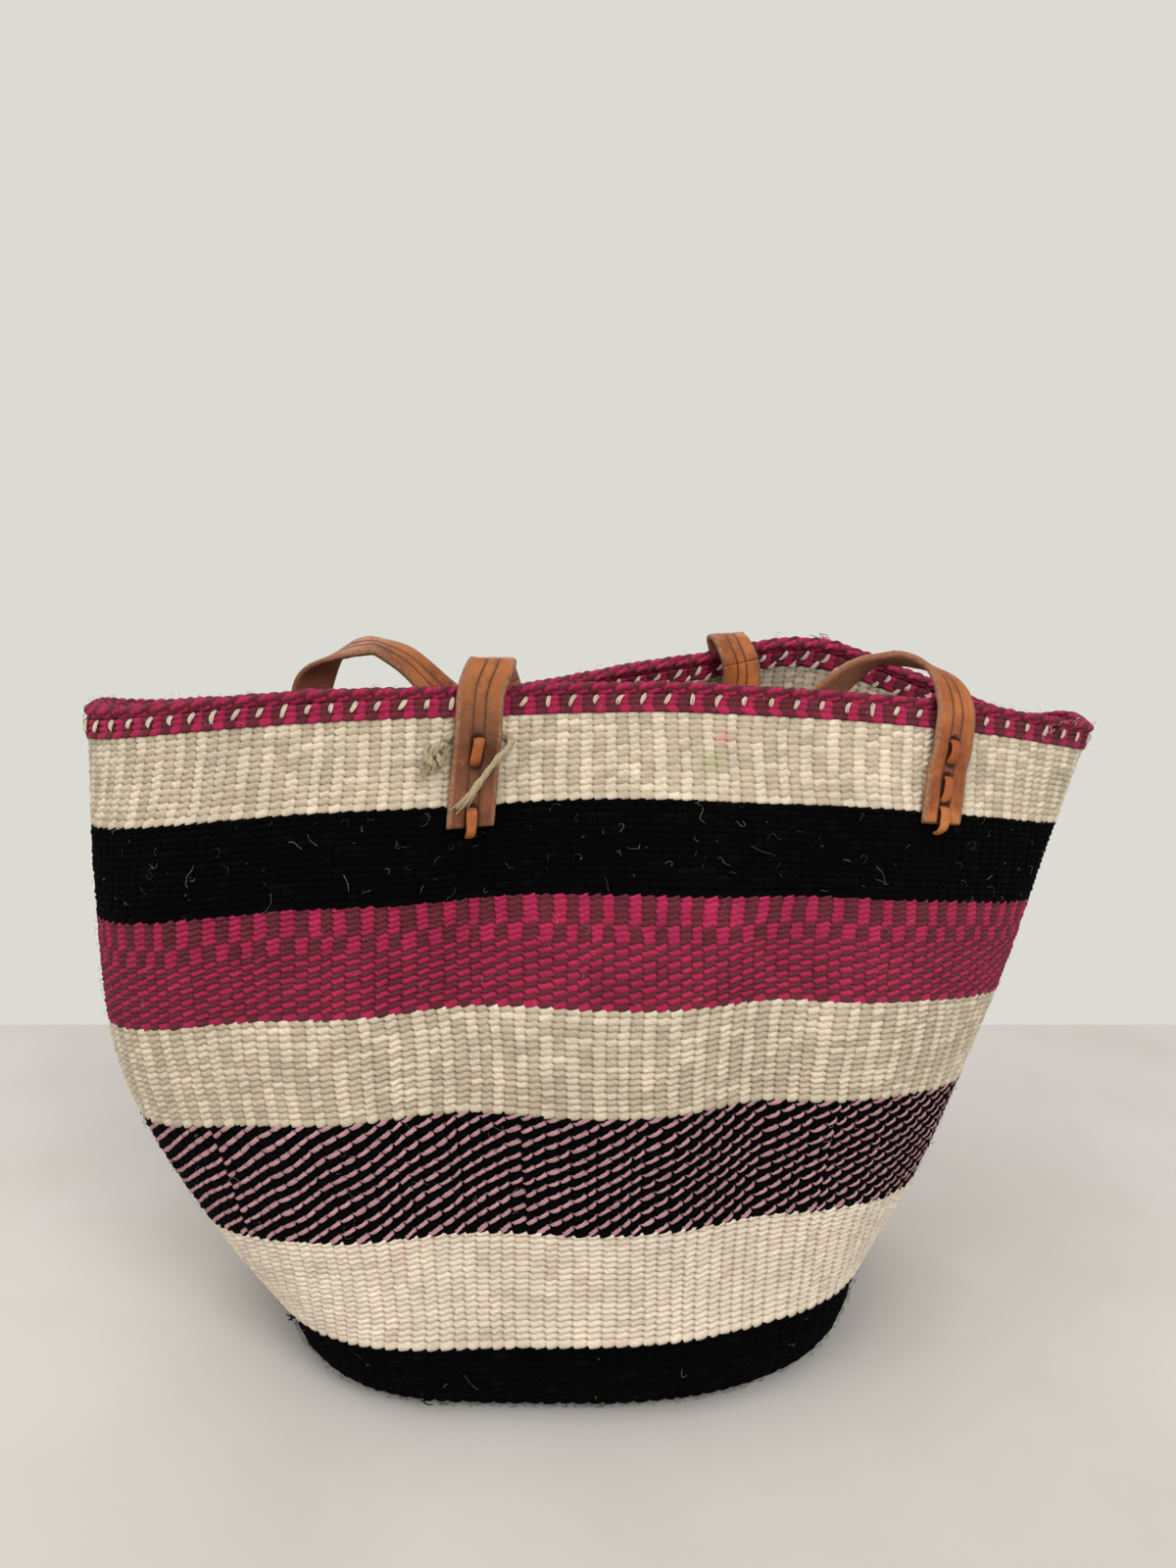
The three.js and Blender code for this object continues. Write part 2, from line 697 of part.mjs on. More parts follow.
for (const { name, fold, arch, loop, foldLace, archLace } of straps) {
  const cut = (stations, lace) => geometryOf(solidOf(stripGeometry(stations)).subtract(lace.slits));
  addPiece(name + "_strap_fold_end", cut(fold, foldLace), LEATHER, 0.6);
  addPiece(name + "_strap_arch_end", cut(arch, archLace), LEATHER, 0.6);
  addPiece(name + "_strap_loop", stripGeometry(loop), LEATHER, 0.6);
  addPiece(name + "_fold_end_lace", foldLace.lace, LACE, 0.6);
  addPiece(name + "_arch_end_lace", archLace.lace, LACE, 0.6);
}

// The twine runs from its knot, behind the front fold tab and back over it.
const twinePoint = ([round, depth, d]) => {
  const s = RIM_FOOT - depth;
  const v = tabPlace(FRONT_STRAP.foldAt, s, FOLD_TAB_LEAN) + round / lengthRound(FRONT_STRAP.foldAt, s);
  return onWall(v, s, d);
};
const twinePath = new THREE.CatmullRomCurve3(TWINE_ROUTE.map(twinePoint), false, "centripetal");
const twineSection = new THREE.Shape();
twineSection.absarc(0, 0, TWINE_DIAMETER / 2, 0, 2 * Math.PI);
const twine = new THREE.ExtrudeGeometry(twineSection, {
  steps: TWINE_STEPS,
  curveSegments: 4,
  extrudePath: twinePath,
});
addPiece("tag_twine", twine, TWINE);

const knot = new THREE.SphereGeometry(0.5, 12, 8);
knot.scale(...TWINE_KNOT);
const knotHeight = RIM_FOOT - TWINE_ROUTE[0][1] - TWINE_KNOT[1] / 2 - SEAM_GAP;
const knotRound = TWINE_ROUTE[0][0] - TWINE_KNOT_OFFSET;
const knotOut = TWINE_KNOT[2] / 2 + 2 * SEAM_GAP;
knot.translate(knotRound, knotHeight, knotOut);
const knotLean = FOLD_TAB_LEAN / (tabTop - FOLD_TAB_END);
bendOntoWall(knot, FRONT_STRAP.foldAt, tabTop, knotLean);
addPiece("tag_twine_knot", knot, TWINE);

export default group;
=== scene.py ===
"""A soft twined wool basket with two leather strap handles, dressed over its solid frame.

Metres, +Z up, the front faces -Y, the origin is the middle of the base on the floor. Sizes in this
file are in millimetres, and each mesh is turned into metres as it is made. A place on the wall is
v, the share of the way round (0.75 front, 0.25 back), s, the distance up the wall from the floor,
and d, the distance out of the wall's face. Noise is seeded, so every run is the same.
"""

import math

import bpy
import numpy as np
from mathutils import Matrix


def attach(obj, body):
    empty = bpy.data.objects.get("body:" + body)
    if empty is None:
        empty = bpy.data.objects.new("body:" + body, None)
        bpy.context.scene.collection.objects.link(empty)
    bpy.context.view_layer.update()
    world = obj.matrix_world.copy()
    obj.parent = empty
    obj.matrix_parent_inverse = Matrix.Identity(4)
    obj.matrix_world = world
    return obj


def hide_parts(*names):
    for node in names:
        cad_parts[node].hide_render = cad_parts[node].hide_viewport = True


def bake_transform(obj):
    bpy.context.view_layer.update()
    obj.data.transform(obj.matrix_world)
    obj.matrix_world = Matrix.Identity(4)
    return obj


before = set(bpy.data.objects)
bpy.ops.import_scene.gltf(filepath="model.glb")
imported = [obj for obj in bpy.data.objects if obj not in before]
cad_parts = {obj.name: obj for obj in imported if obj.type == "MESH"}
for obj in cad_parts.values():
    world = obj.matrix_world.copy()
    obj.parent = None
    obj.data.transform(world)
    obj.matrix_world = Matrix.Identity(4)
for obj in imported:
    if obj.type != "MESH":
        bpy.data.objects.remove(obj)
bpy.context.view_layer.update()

MM = 0.001
UP = np.array([0.0, 0.0, 1.0])

# The camera: a phone held a little above the rim
CAMERA_PLACE = (0.0069, -0.5246, 0.3639)
CAMERA_DIP = 13.32
LENS, SENSOR = 27, 36


def place_camera():
    """The camera at its place, facing the basket and dipped by so many degrees from level."""
    data = bpy.data.cameras.new("camera")
    data.lens = LENS
    data.sensor_width = SENSOR
    data.clip_start = 0.02
    camera = bpy.data.objects.new("camera", data)
    camera.location = CAMERA_PLACE
    camera.rotation_euler = (math.radians(90 - CAMERA_DIP), 0, 0)
    bpy.context.scene.collection.objects.link(camera)
    bpy.context.scene.camera = camera


place_camera()

# The wall. Heights go up its slope, band by band. Each list from HALF_WIDTH to SADDLE_SKEW gives
# five values, evenly spaced from the heel to the rim
BAND_HEIGHTS = [38, 48, 55, 45, 46, 40, 38, 7, 7]
BAND_TOPS = np.cumsum(BAND_HEIGHTS).astype(float)
WALL_LENGTH = BAND_TOPS[8]
RIM_FOOT = BAND_TOPS[6]
RIM_BAND_HEIGHT = 7.0
WALL_THICKNESS = 5.0
FRONT = 0.75

HALF_WIDTH = [115, 161, 188.5, 209.5, 228.5]
HALF_DEPTH = [127, 94, 92, 77.5, 49.5]
SHIFT_X = [0, -6.5, -10, 5, 23.5]
SHIFT_Y = [0, -17.5, -26, -12, 2]
TURN_DEGREES = [4.7, 1.3, 1, 7.5, 10.1]
RISE = [0, 64.3, 141, 213, 285]
SQUARENESS = [2.87, 2.79, 2.7, 2.62, 2.54]
LEAN_RIGHT = [0, 3.6, 4, -5.4, -10.7]
LEAN_BACK = [0, -7, -6.7, -1.3, 2.7]
SADDLE = [0, -4, -6.3, -9.8, -10.9]
SADDLE_SKEW = [0, -5.1, -4.8, -0.5, 0.3]
HEEL_LENGTH = 28.0
HEEL_INSET = 17.0
# Depth, then the middle and half size across, then the middle and half size up the wall
FRONT_HOLLOWS = [
    (12.5, -121, 45, 176, 92),
    (14, -38, 38, 172, 114),
    (10, 5, 46, 284, 105),
    (9, 83, 25, 157, 86),
]
# Lift, then the middle and half size across
REAR_RIM_LIFTS = [(-24, -95, 110), (10, 104, 40), (-9, 208, 42)]

ROUND_STEPS = 1440
LEVEL_STEP = 2.0
LEVELS_ABOVE = 4


def smoothstep(x, low, high):
    """0 below low, 1 above high, and an even S between them."""
    t = np.clip((np.asarray(x, float) - low) / (high - low), 0, 1)
    return t * t * (3 - 2 * t)


def bell(x, middle, half):
    """1 at the middle, falling off on both sides: e to the minus square of the distance."""
    return np.exp(-(((x - middle) / half) ** 2))


def along(values, t):
    """A smooth curve through evenly spaced values, at t from 0 to 1: a cubic between each two,
    whose slope at a value is half the step from the one before it to the one after."""
    v = np.asarray(values, float)
    v = np.concatenate(([2 * v[0] - v[1]], v, [2 * v[-1] - v[-2]]))
    x = np.clip(t, 0, 1) * (len(v) - 3)
    i = np.minimum(np.floor(x).astype(int), len(v) - 4)
    f = x - i
    a, b, c, d = v[i], v[i + 1], v[i + 2], v[i + 3]
    return 0.5 * (
        2 * b + (c - a) * f + (2 * a - 5 * b + 4 * c - d) * f**2 + (3 * b - a - 3 * c + d) * f**3
    )


def section(u, s):
    """The wall's face: a rounded rectangle (superellipse) at height s, shifted, turned, pressed in
    by the front hollows, and lifted by slow waves round the wall and by the sag of the rear rim."""
    t = s / WALL_LENGTH
    power = 2 / along(SQUARENESS, t)
    c, k = np.cos(u), np.sin(u)
    across = along(HALF_WIDTH, t) * np.sign(c) * np.abs(c) ** power
    deep = along(HALF_DEPTH, t) * np.sign(k) * np.abs(k) ** power
    front, rear = smoothstep(-2 * k, 0, 1), smoothstep(2 * k, 0, 1)
    for depth, x, half_width, height, half_height in FRONT_HOLLOWS:
        deep = deep + depth * front * bell(across, x, half_width) * bell(s, height, half_height)
    z = along(RISE, t) + along(LEAN_RIGHT, t) * c + along(LEAN_BACK, t) * k
    z = z + along(SADDLE, t) * np.cos(2 * u) + along(SADDLE_SKEW, t) * np.sin(2 * u)
    for lift, x, half_width in REAR_RIM_LIFTS:
        z = z + lift * rear * bell(across, x, half_width) * t**3
    turn = np.radians(along(TURN_DEGREES, t))
    x = along(SHIFT_X, t) + across * np.cos(turn) - deep * np.sin(turn)
    y = along(SHIFT_Y, t) + across * np.sin(turn) + deep * np.cos(turn)
    return np.stack([x, y, z], -1)


def unit(a):
    """Directions made one long: each divided by its own length."""
    return a / np.linalg.norm(a, axis=-1, keepdims=True)


def lay_level(s):
    """One level of the wall at even spacing round it, kept upright at the front and the back."""
    u = np.linspace(0, 2 * np.pi, 2 * ROUND_STEPS + 1)
    p = section(u, s)
    lengths = np.concatenate(([0], np.cumsum(np.linalg.norm(np.diff(p, axis=0), axis=1))))
    total = lengths[-1]

    def crossing(first):
        """How far round the level crosses x = 0, looked for from a step onwards."""
        i = first + np.argmax(p[first:-1, 0] * p[first + 1 :, 0] <= 0)
        share = p[i, 0] / (p[i, 0] - p[i + 1, 0])
        return lengths[i] + share * (lengths[i + 1] - lengths[i])

    front = crossing(ROUND_STEPS)
    slip = crossing(0) - (front - total / 2)
    past = np.arange(ROUND_STEPS) / ROUND_STEPS - FRONT
    far = (1 - np.cos(2 * np.pi * past)) / 2
    wanted = np.mod(front + past * total + far * slip, total)
    return np.stack([np.interp(wanted, lengths, p[:, k]) for k in range(3)], -1), total, slip


def lay_wall():
    """Tables of the wall's face, its outward direction, and each level's length round and slip. The
    heel is a quarter circle: inset 1 - cos and height 1 - sin of an angle that grows downwards."""
    heights = np.arange(0, WALL_LENGTH + 1, LEVEL_STEP)
    rows, totals, slips = zip(*(lay_level(max(s, HEEL_LENGTH)) for s in heights))
    face = np.array(rows)
    heel = face[np.searchsorted(heights, HEEL_LENGTH)]
    ahead = np.roll(heel, -2, 0) - np.roll(heel, 2, 0)
    ahead[:, 2] = 0
    inward = np.cross([0, 0, 1], unit(ahead))
    for i, s in enumerate(heights):
        if s < HEEL_LENGTH:
            angle = (1 - s / HEEL_LENGTH) * np.pi / 2
            face[i] = heel + inward * HEEL_INSET * (1 - np.cos(angle))
            face[i, :, 2] = heel[:, 2] * (1 - np.sin(angle))
    beyond = np.arange(1, LEVELS_ABOVE + 1)[:, None, None]
    above = face[-1:] + (face[-1:] - face[-2:-1]) * beyond
    face = np.concatenate([face, above])
    round_way = np.roll(face, -2, 1) - np.roll(face, 2, 1)
    up_way = np.gradient(face, axis=0)
    return face, unit(np.cross(round_way, up_way)), np.array(totals), np.array(slips)


WALL_FACE, WALL_OUT, LEVEL_TOTALS, LEVEL_SLIPS = lay_wall()


def read_table(table, v, s):
    """A table of the wall read smoothly at v and s: the four neighbours each way, each times its
    weight round and its weight up."""
    x = np.mod(v, 1) * ROUND_STEPS
    y = np.clip(np.asarray(s, float) / LEVEL_STEP, 0, len(table) - 1)
    i, j = np.floor(x).astype(int), np.minimum(np.floor(y).astype(int), len(table) - 2)
    result = 0
    for step_y, weight_y in enumerate(curve_weights(y - j)):
        row = np.clip(j + step_y - 1, 0, len(table) - 1)
        for step_x, weight_x in enumerate(curve_weights(x - i)):
            column = np.mod(i + step_x - 1, ROUND_STEPS)
            result = result + (weight_x * weight_y)[..., None] * table[row, column]
    return result


def curve_weights(f):
    """What four neighbours count for at a share f between the middle two: the same cubic as in
    along, sorted by neighbour."""
    return (
        0.5 * (-f + 2 * f**2 - f**3),
        0.5 * (2 - 5 * f**2 + 3 * f**3),
        0.5 * (f + 4 * f**2 - 3 * f**3),
        0.5 * (-(f**2) + f**3),
    )


def out_of_wall(v, s):
    """The direction out of the wall's face, read from its table and made one long."""
    return unit(read_table(WALL_OUT, v, s))


def on_wall(v, s, d=0.0):
    """The point d out of the wall's face at v round and s up."""
    v, s = np.broadcast_arrays(np.asarray(v, float), np.asarray(s, float))
    return read_table(WALL_FACE, v, s) + out_of_wall(v, s) * np.asarray(d, float)[..., None]


def length_round(v, s):
    """The length once round level s, at the spacing that it has at v: the level's own length +
    its slip times pi times the sine of the turn from the front."""
    level = np.clip(np.asarray(s, float) / LEVEL_STEP, 0, len(LEVEL_TOTALS) - 1)
    steps = np.arange(len(LEVEL_TOTALS))
    slip = np.interp(level, steps, LEVEL_SLIPS)
    return np.interp(level, steps, LEVEL_TOTALS) + slip * np.pi * np.sin(2 * np.pi * (v - FRONT))


def round_way(v, s):
    """The direction round the wall, from one side of v to the other."""
    return unit(on_wall(v + 0.001, s) - on_wall(v - 0.001, s))


def make_piece(name, points, quads, finish, ends=(), on_faces=None, on_points=None, uv=None):
    """A mesh from points in millimetres, four-cornered faces and many-cornered ends, with named
    numbers on its faces and points and a flat layout for the finish to read."""
    points = np.asarray(points, float).reshape(-1, 3)
    quads = np.asarray(quads)
    corners = np.concatenate([quads.ravel()] + [np.asarray(end) for end in ends]).astype(np.int32)
    sizes = np.concatenate([np.full(len(quads), 4), [len(end) for end in ends]]).astype(int)
    starts = np.concatenate([[0], np.cumsum(sizes)[:-1]]).astype(np.int32)
    mesh = bpy.data.meshes.new(name)
    mesh.vertices.add(len(points))
    mesh.vertices.foreach_set("co", (points * MM).astype(np.float32).ravel())
    mesh.loops.add(len(corners))
    mesh.loops.foreach_set("vertex_index", corners)
    mesh.polygons.add(len(sizes))
    mesh.polygons.foreach_set("loop_start", starts)
    mesh.polygons.foreach_set("use_smooth", sizes == 4)
    for domain, numbers in (("FACE", on_faces), ("POINT", on_points)):
        for key, values in (numbers or {}).items():
            values = np.asarray(values, np.float32).ravel()
            full = np.zeros(len(sizes) if domain == "FACE" else len(points), np.float32)
            full[: len(values)] = values
            mesh.attributes.new(key, "FLOAT", domain).data.foreach_set("value", full)
    layer = mesh.uv_layers.new(name="lay")
    flat = np.zeros((len(corners), 2), np.float32)
    if uv is not None:
        flat[: quads.size] = np.asarray(uv, np.float32).reshape(-1, 2)
    layer.data.foreach_set("uv", flat.ravel())
    mesh.update(calc_edges=True)
    mesh.materials.append(finish)
    piece = bpy.data.objects.new(name, mesh)
    bpy.context.scene.collection.objects.link(piece)
    return piece


def join_rings(low, high, columns):
    """Faces between two rings of points, each given by its first point."""
    k = np.arange(columns)
    n = (k + 1) % columns
    return np.stack([low + k, low + n, high + n, high + k], -1)


def ring_quads(rows, columns, start=0, closed=False):
    """Faces of a grid that closes on itself sideways, and lengthways too where it is closed."""
    row = np.arange(rows - 1 + closed)[:, None]
    low, high = start + row * columns, start + (row + 1) % rows * columns
    return join_rings(low, high, columns).reshape(-1, 4)


def tube_faces(stations, around, tubes=1):
    """Faces and end caps of tubes laid end after end: stations along each, so many points round."""
    size = stations * around
    first = np.arange(tubes)[:, None, None] * size
    rim, ends = np.arange(around), []
    for start in range(0, tubes * size, size):
        ends += [start + rim[::-1], start + size - around + rim]
    return (first + ring_quads(stations, around)).reshape(-1, 4), ends


def tangents(path):
    """The direction of a path at each of its points."""
    return unit(np.gradient(path, axis=-2))


def sweep(path, side, outline):
    """An outline (across, up) carried along a path: each point is path + across times the side
    direction + up times the direction square to the side and the path."""
    ahead = tangents(path)
    side = unit(side - ahead * np.sum(side * ahead, -1, keepdims=True))
    up = np.cross(side, ahead)
    outline = np.asarray(outline)
    across = side[..., None, :] * outline[..., 0, None]
    return path[..., None, :] + across + up[..., None, :] * outline[..., 1, None]


def circle(around):
    """Points round a circle, turned so that the faces of a sweep point outwards."""
    turn = -np.arange(around) * 2 * np.pi / around
    return np.stack([np.cos(turn), np.sin(turn)], -1)


def seen(red, green, blue):
    """A colour as the eye sees it, 0 to 255, turned into the light that the shader works in."""
    c = np.array([red, green, blue]) / 255
    c = np.where(c <= 0.04045, c / 12.92, ((c + 0.055) / 1.055) ** 2.4)
    return (float(c[0]), float(c[1]), float(c[2]), 1.0)


class Finish:
    """A material's node tree. Each method adds a node and gives its output."""

    def __init__(self, name):
        self.material = bpy.data.materials.new(name)
        self.material.use_nodes = True
        self.tree = self.material.node_tree
        self.tree.nodes.clear()

    def node(self, kind, inputs=None, **settings):
        """A node of a kind: an input that is a socket is linked, any other is set."""
        made = self.tree.nodes.new("ShaderNode" + kind)
        for key, value in settings.items():
            setattr(made, key, value)
        for key, value in (inputs or {}).items():
            if isinstance(value, bpy.types.NodeSocket):
                self.tree.links.new(value, made.inputs[key])
            else:
                made.inputs[key].default_value = value
        return made

    def number(self, name):
        """A number that the mesh carries under a name."""
        return self.node("Attribute", attribute_name=name).outputs["Fac"]

    def math(self, operation, a, b=0.0):
        """One sum of two numbers."""
        return self.node("Math", {0: a, 1: b}, operation=operation).outputs[0]

    def plus(self, a, b):
        """a + b."""
        return self.math("ADD", a, b)

    def times(self, a, b):
        """a times b."""
        return self.math("MULTIPLY", a, b)

    def mix(self, a, b, share, blend="MIX"):
        """Colour a going over into colour b by a share."""
        inputs = {0: share, 6: a, 7: b}
        return self.node("Mix", inputs, data_type="RGBA", blend_type=blend).outputs[2]

    def between(self, x, low, high, first=0.0, last=1.0):
        """x taken from low to high onto first to last, and held beyond them."""
        inputs = {"Value": x, "From Min": low, "From Max": high, "To Min": first, "To Max": last}
        return self.node("MapRange", inputs, clamp=True).outputs[0]

    def place(self, which="Object", scale=(1, 1, 1)):
        """The place on the object in metres, or on the piece's flat layout, times a scale."""
        source = self.node("TexCoord").outputs[which]
        return self.node("Mapping", {"Vector": source, "Scale": scale}).outputs[0]

    def noise(self, where, scale, detail=3.0, rough=0.6):
        """Cloudy noise from 0 to 1, with so many clouds to one unit of the place."""
        inputs = {"Vector": where, "Scale": scale, "Detail": detail, "Roughness": rough}
        return self.node("TexNoise", inputs).outputs["Fac"]

    def choose(self, x, stops):
        """Plain colours one after another: each stop is where a colour starts, and the colour."""
        ramp = self.node("ValToRGB", {"Fac": x})
        ramp.color_ramp.interpolation = "CONSTANT"
        while len(ramp.color_ramp.elements) < len(stops):
            ramp.color_ramp.elements.new(0.5)
        for element, (position, colour) in zip(ramp.color_ramp.elements, stops):
            element.position = position
            element.color = colour
        return ramp.outputs["Color"]

    def shade(self, colour, factor):
        """The colour made lighter or darker by a number."""
        grey = self.node("CombineXYZ", {0: factor, 1: factor, 2: factor}).outputs[0]
        return self.mix(colour, grey, 1.0, "MULTIPLY")

    def vary(self, colour, x, low, high, darkest, lightest):
        """The colour shaded from its darkest where x is low to its lightest where x is high."""
        return self.shade(colour, self.between(x, low, high, darkest, lightest))

    def bump(self, height, distance, strength):
        """The face's direction as a height in metres tips it."""
        inputs = {"Height": height, "Distance": distance, "Strength": strength}
        return self.node("Bump", inputs).outputs["Normal"]

    def surface(self, colour, normal, roughness, **fixed):
        """The shader itself, with what is the same all over it set on its own sockets."""
        inputs = {"Base Color": colour, "Normal": normal, "Roughness": roughness}
        inputs.update({key.replace("_", " "): value for key, value in fixed.items()})
        shader = self.node("BsdfPrincipled", inputs)
        self.node("OutputMaterial", {"Surface": shader.outputs[0]})
        return self.material


YARN_SLOTS = 8
YARN_MARGIN = 0.06


def slim_stitch(f, across, up):
    """1 inside an S-shaped stitch and 0 beside it: the distance of the height b from 2 a |a|, where
    a and b are the place across and up the stitch from its middle."""
    a = f.math("SUBTRACT", f.math("FRACT", across), 0.5)
    b = f.math("SUBTRACT", f.math("FRACT", up), 0.5)
    bend = f.times(f.times(a, f.math("ABSOLUTE", a)), 2.0)
    off = f.math("ABSOLUTE", f.math("SUBTRACT", b, bend))
    off = f.plus(off, f.times(f.number("tone"), 0.1))
    return f.between(off, 0.3, 0.47, 1.0, 0.0)


def twisted_wool(
    name, yarns, valley_shade_colour, contrast=1.0, stain=None, sheen=0.1, gloss=0.12, slim=False,
    spots=(),
):
    """Hand-spun wool: yarns told apart by the number on each stitch, a lighter and darker tone
    per stitch at random, fibres that run along it, a two-ply twist, and painted shade in the
    valleys between the stitches. The contrast stretches the tones, a stain tints wide patches, and
    a spot (centre, radius, colour) one."""
    f = Finish(name)
    split = f.node("SeparateXYZ", {"Vector": f.place("UV")})
    across, up = split.outputs[0], split.outputs[1]
    yarn = f.number("yarn")
    if slim:
        yarn = f.times(yarn, slim_stitch(f, across, up))
    stops = [(max(0.0, i / YARN_SLOTS - YARN_MARGIN), colour) for i, colour in enumerate(yarns)]
    colour = f.choose(f.math("DIVIDE", yarn, YARN_SLOTS), stops)
    fibres = f.noise(f.place("UV", (1.8, 8.0, 1.0)), 2.4, 5.0, 0.75)
    fuzz = f.noise(f.place(), 900.0, 2.0, 0.7)
    patches = f.noise(f.place(), 85.0, 2.0, 0.6)
    cloudy = f.noise(f.place(), 16.0, 3.0, 0.55)
    for x, low, high, darker, lighter in (
        (f.number("tone"), 0.0, 1.0, 0.08, 0.06),
        (patches, 0.3, 0.7, 0.13, 0.11),
        (fibres, 0.32, 0.7, 0.26, 0.16),
    ):
        colour = f.vary(colour, x, low, high, 1 - darker * contrast, 1 + lighter * contrast)
    colour = f.vary(colour, cloudy, 0.3, 0.7, 0.92, 1.06)
    if stain is not None:
        spread = f.noise(f.place(), 34.0, 4.0, 0.6)
        colour = f.mix(colour, stain, f.between(spread, 0.6, 0.74, 0.0, 0.5))
    for centre, radius, spot in spots:
        measure = f.node("VectorMath", {0: f.place(), 1: centre}, operation="DISTANCE")
        away = f.plus(measure.outputs["Value"], f.times(patches, 0.003))
        colour = f.mix(colour, spot, f.between(away, radius * 0.4, radius, 0.7, 0.0))
    # Painted shade: the colour goes darker towards the valley shade colour between the stitches
    valley = f.between(f.plus(f.number("painted_crevice_shade"), f.times(fuzz, 0.3)), 0.2, 1.15)
    colour = f.mix(colour, f.mix(colour, valley_shade_colour, 1.0, "MULTIPLY"), valley)
    twist = f.math("SINE", f.plus(f.times(across, 13.0), f.times(up, 9.0)))
    height = f.plus(f.times(twist, 0.25), f.times(fibres, 1.4))
    height = f.plus(height, f.times(fuzz, 0.6))
    return f.surface(
        colour, f.bump(height, 0.0004, 0.85), f.between(fuzz, 0.3, 0.7, 0.88, 1.0),
        Sheen_Weight=sheen, Sheen_Roughness=0.6, Specular_IOR_Level=gloss,
    )


def tanned_leather(name, base, light, dark, under):
    """Vegetable-tanned strap leather: cloudy brown made lighter and darker by a painted light tone,
    streaks along the strap, a fine grain, dark pressed grooves, painted shade round the lace holes,
    pale worn edges, and a rough dark flesh side."""
    f = Finish(name)
    clouds = f.noise(f.place(), 38.0, 4.0, 0.6)
    streaks = f.noise(f.place("UV", (0.35, 6.0, 1.0)), 3.0, 4.0, 0.65)
    wrinkles = f.noise(f.place("UV", (9.0, 0.7, 1.0)), 2.2, 4.0, 0.7)
    colour = f.mix(dark, light, f.between(clouds, 0.36, 0.64))
    colour = f.mix(base, colour, 0.85)
    # Painted light and shade: each strap lighter or darker as light falls on it, darker down its
    # tab
    colour = f.shade(colour, f.number("painted_light_tone"))
    colour = f.vary(colour, streaks, 0.3, 0.7, 0.86, 1.12)
    colour = f.vary(colour, wrinkles, 0.3, 0.5, 0.78, 1.03)
    grain = f.node("TexVoronoi", {"Vector": f.place(), "Scale": 1260.0}, feature="DISTANCE_TO_EDGE")
    pores = f.between(grain.outputs["Distance"], 0.0, 0.18)
    colour = f.vary(colour, pores, 0.0, 1.0, 0.8, 1.05)
    scuffs = f.noise(f.place("UV"), 1.1, 6.0, 0.75)
    colour = f.mix(colour, f.shade(light, 1.2), f.between(scuffs, 0.58, 0.72, 0.0, 0.4))
    colour = f.mix(colour, f.shade(dark, 0.35), f.number("pressed"))
    nap = f.noise(f.place(), 700.0, 3.0, 0.8)
    rough_share = f.between(nap, 0.35, 0.7)
    cut = f.mix(seen(104, 66, 42), seen(168, 124, 90), rough_share)
    colour = f.mix(colour, cut, f.times(f.number("edge"), 0.8))
    flesh = f.mix(under, f.shade(under, 1.6), rough_share)
    colour = f.mix(colour, flesh, f.number("flesh"))
    # Painted shade round each lace: the dark opening of its hole and the lace's shadow
    colour = f.mix(colour, seen(46, 22, 12), f.number("painted_hole_shade"))
    height = f.plus(f.times(pores, 0.35), f.times(wrinkles, 0.8))
    height = f.plus(height, f.times(nap, f.math("MAXIMUM", f.number("flesh"), 0.4)))
    rough = f.between(f.noise(f.place(), 260.0, 3.0, 0.7), 0.35, 0.6, 0.36, 0.6)
    dull = f.math("MAXIMUM", f.number("flesh"), f.number("painted_hole_shade"))
    rough = f.math("MAXIMUM", rough, f.times(dull, 0.95))
    return f.surface(colour, f.bump(height, 0.0003, 0.7), rough, Specular_IOR_Level=0.28)


def jute(name):
    """Jute: pale brown plant fibre that runs along the strand, with darker bits, and painted shade
    in the grooves between its two plies.
    """
    f = Finish(name)
    fibres = f.noise(f.place("UV", (1.2, 9.0, 1.0)), 3.0, 5.0, 0.75)
    colour = f.mix(seen(132, 112, 80), seen(214, 196, 160), f.between(fibres, 0.3, 0.7))
    bits = f.noise(f.place(), 500.0, 2.0, 0.5)
    colour = f.mix(colour, seen(92, 72, 48), f.between(bits, 0.62, 0.72, 0.0, 0.5))
    # Painted shade in the grooves between the plies
    colour = f.mix(colour, f.shade(colour, 0.4), f.number("painted_crevice_shade"))
    rough = f.between(bits, 0.3, 0.7, 0.85, 1.0)
    return f.surface(colour, f.bump(fibres, 0.0003, 0.8), rough, Specular_IOR_Level=0.2)


CREAM = seen(238, 222, 194)
CREAM_SHADE = seen(214, 197, 169)
PALE_CREAM = seen(246, 230, 206)
PALE_CREAM_WARM = seen(238, 215, 194)
BLACK = seen(3, 3, 4)
FADED_BLACK = seen(8, 8, 9)
LIGHT_PINK = seen(206, 156, 160)
MAROON = seen(112, 42, 52)
BRIGHT_PINK = seen(184, 40, 84)
WHITE_YARN = seen(236, 218, 194)
# Painted shade: colours multiplied into the wool in the valleys between the stitches
BROWN_VALLEY_SHADE = seen(150, 126, 96)
RED_VALLEY_SHADE = seen(140, 110, 116)
BLACK_VALLEY_SHADE = seen(90, 90, 90)

# Where the cream cloth is stained, how wide, and by what colour
SPOTS = [
    ((0.063, -0.0482, 0.271), 0.0065, seen(224, 160, 150)),
    ((0.0579, -0.0547, 0.261), 0.0085, seen(184, 178, 132)),
]

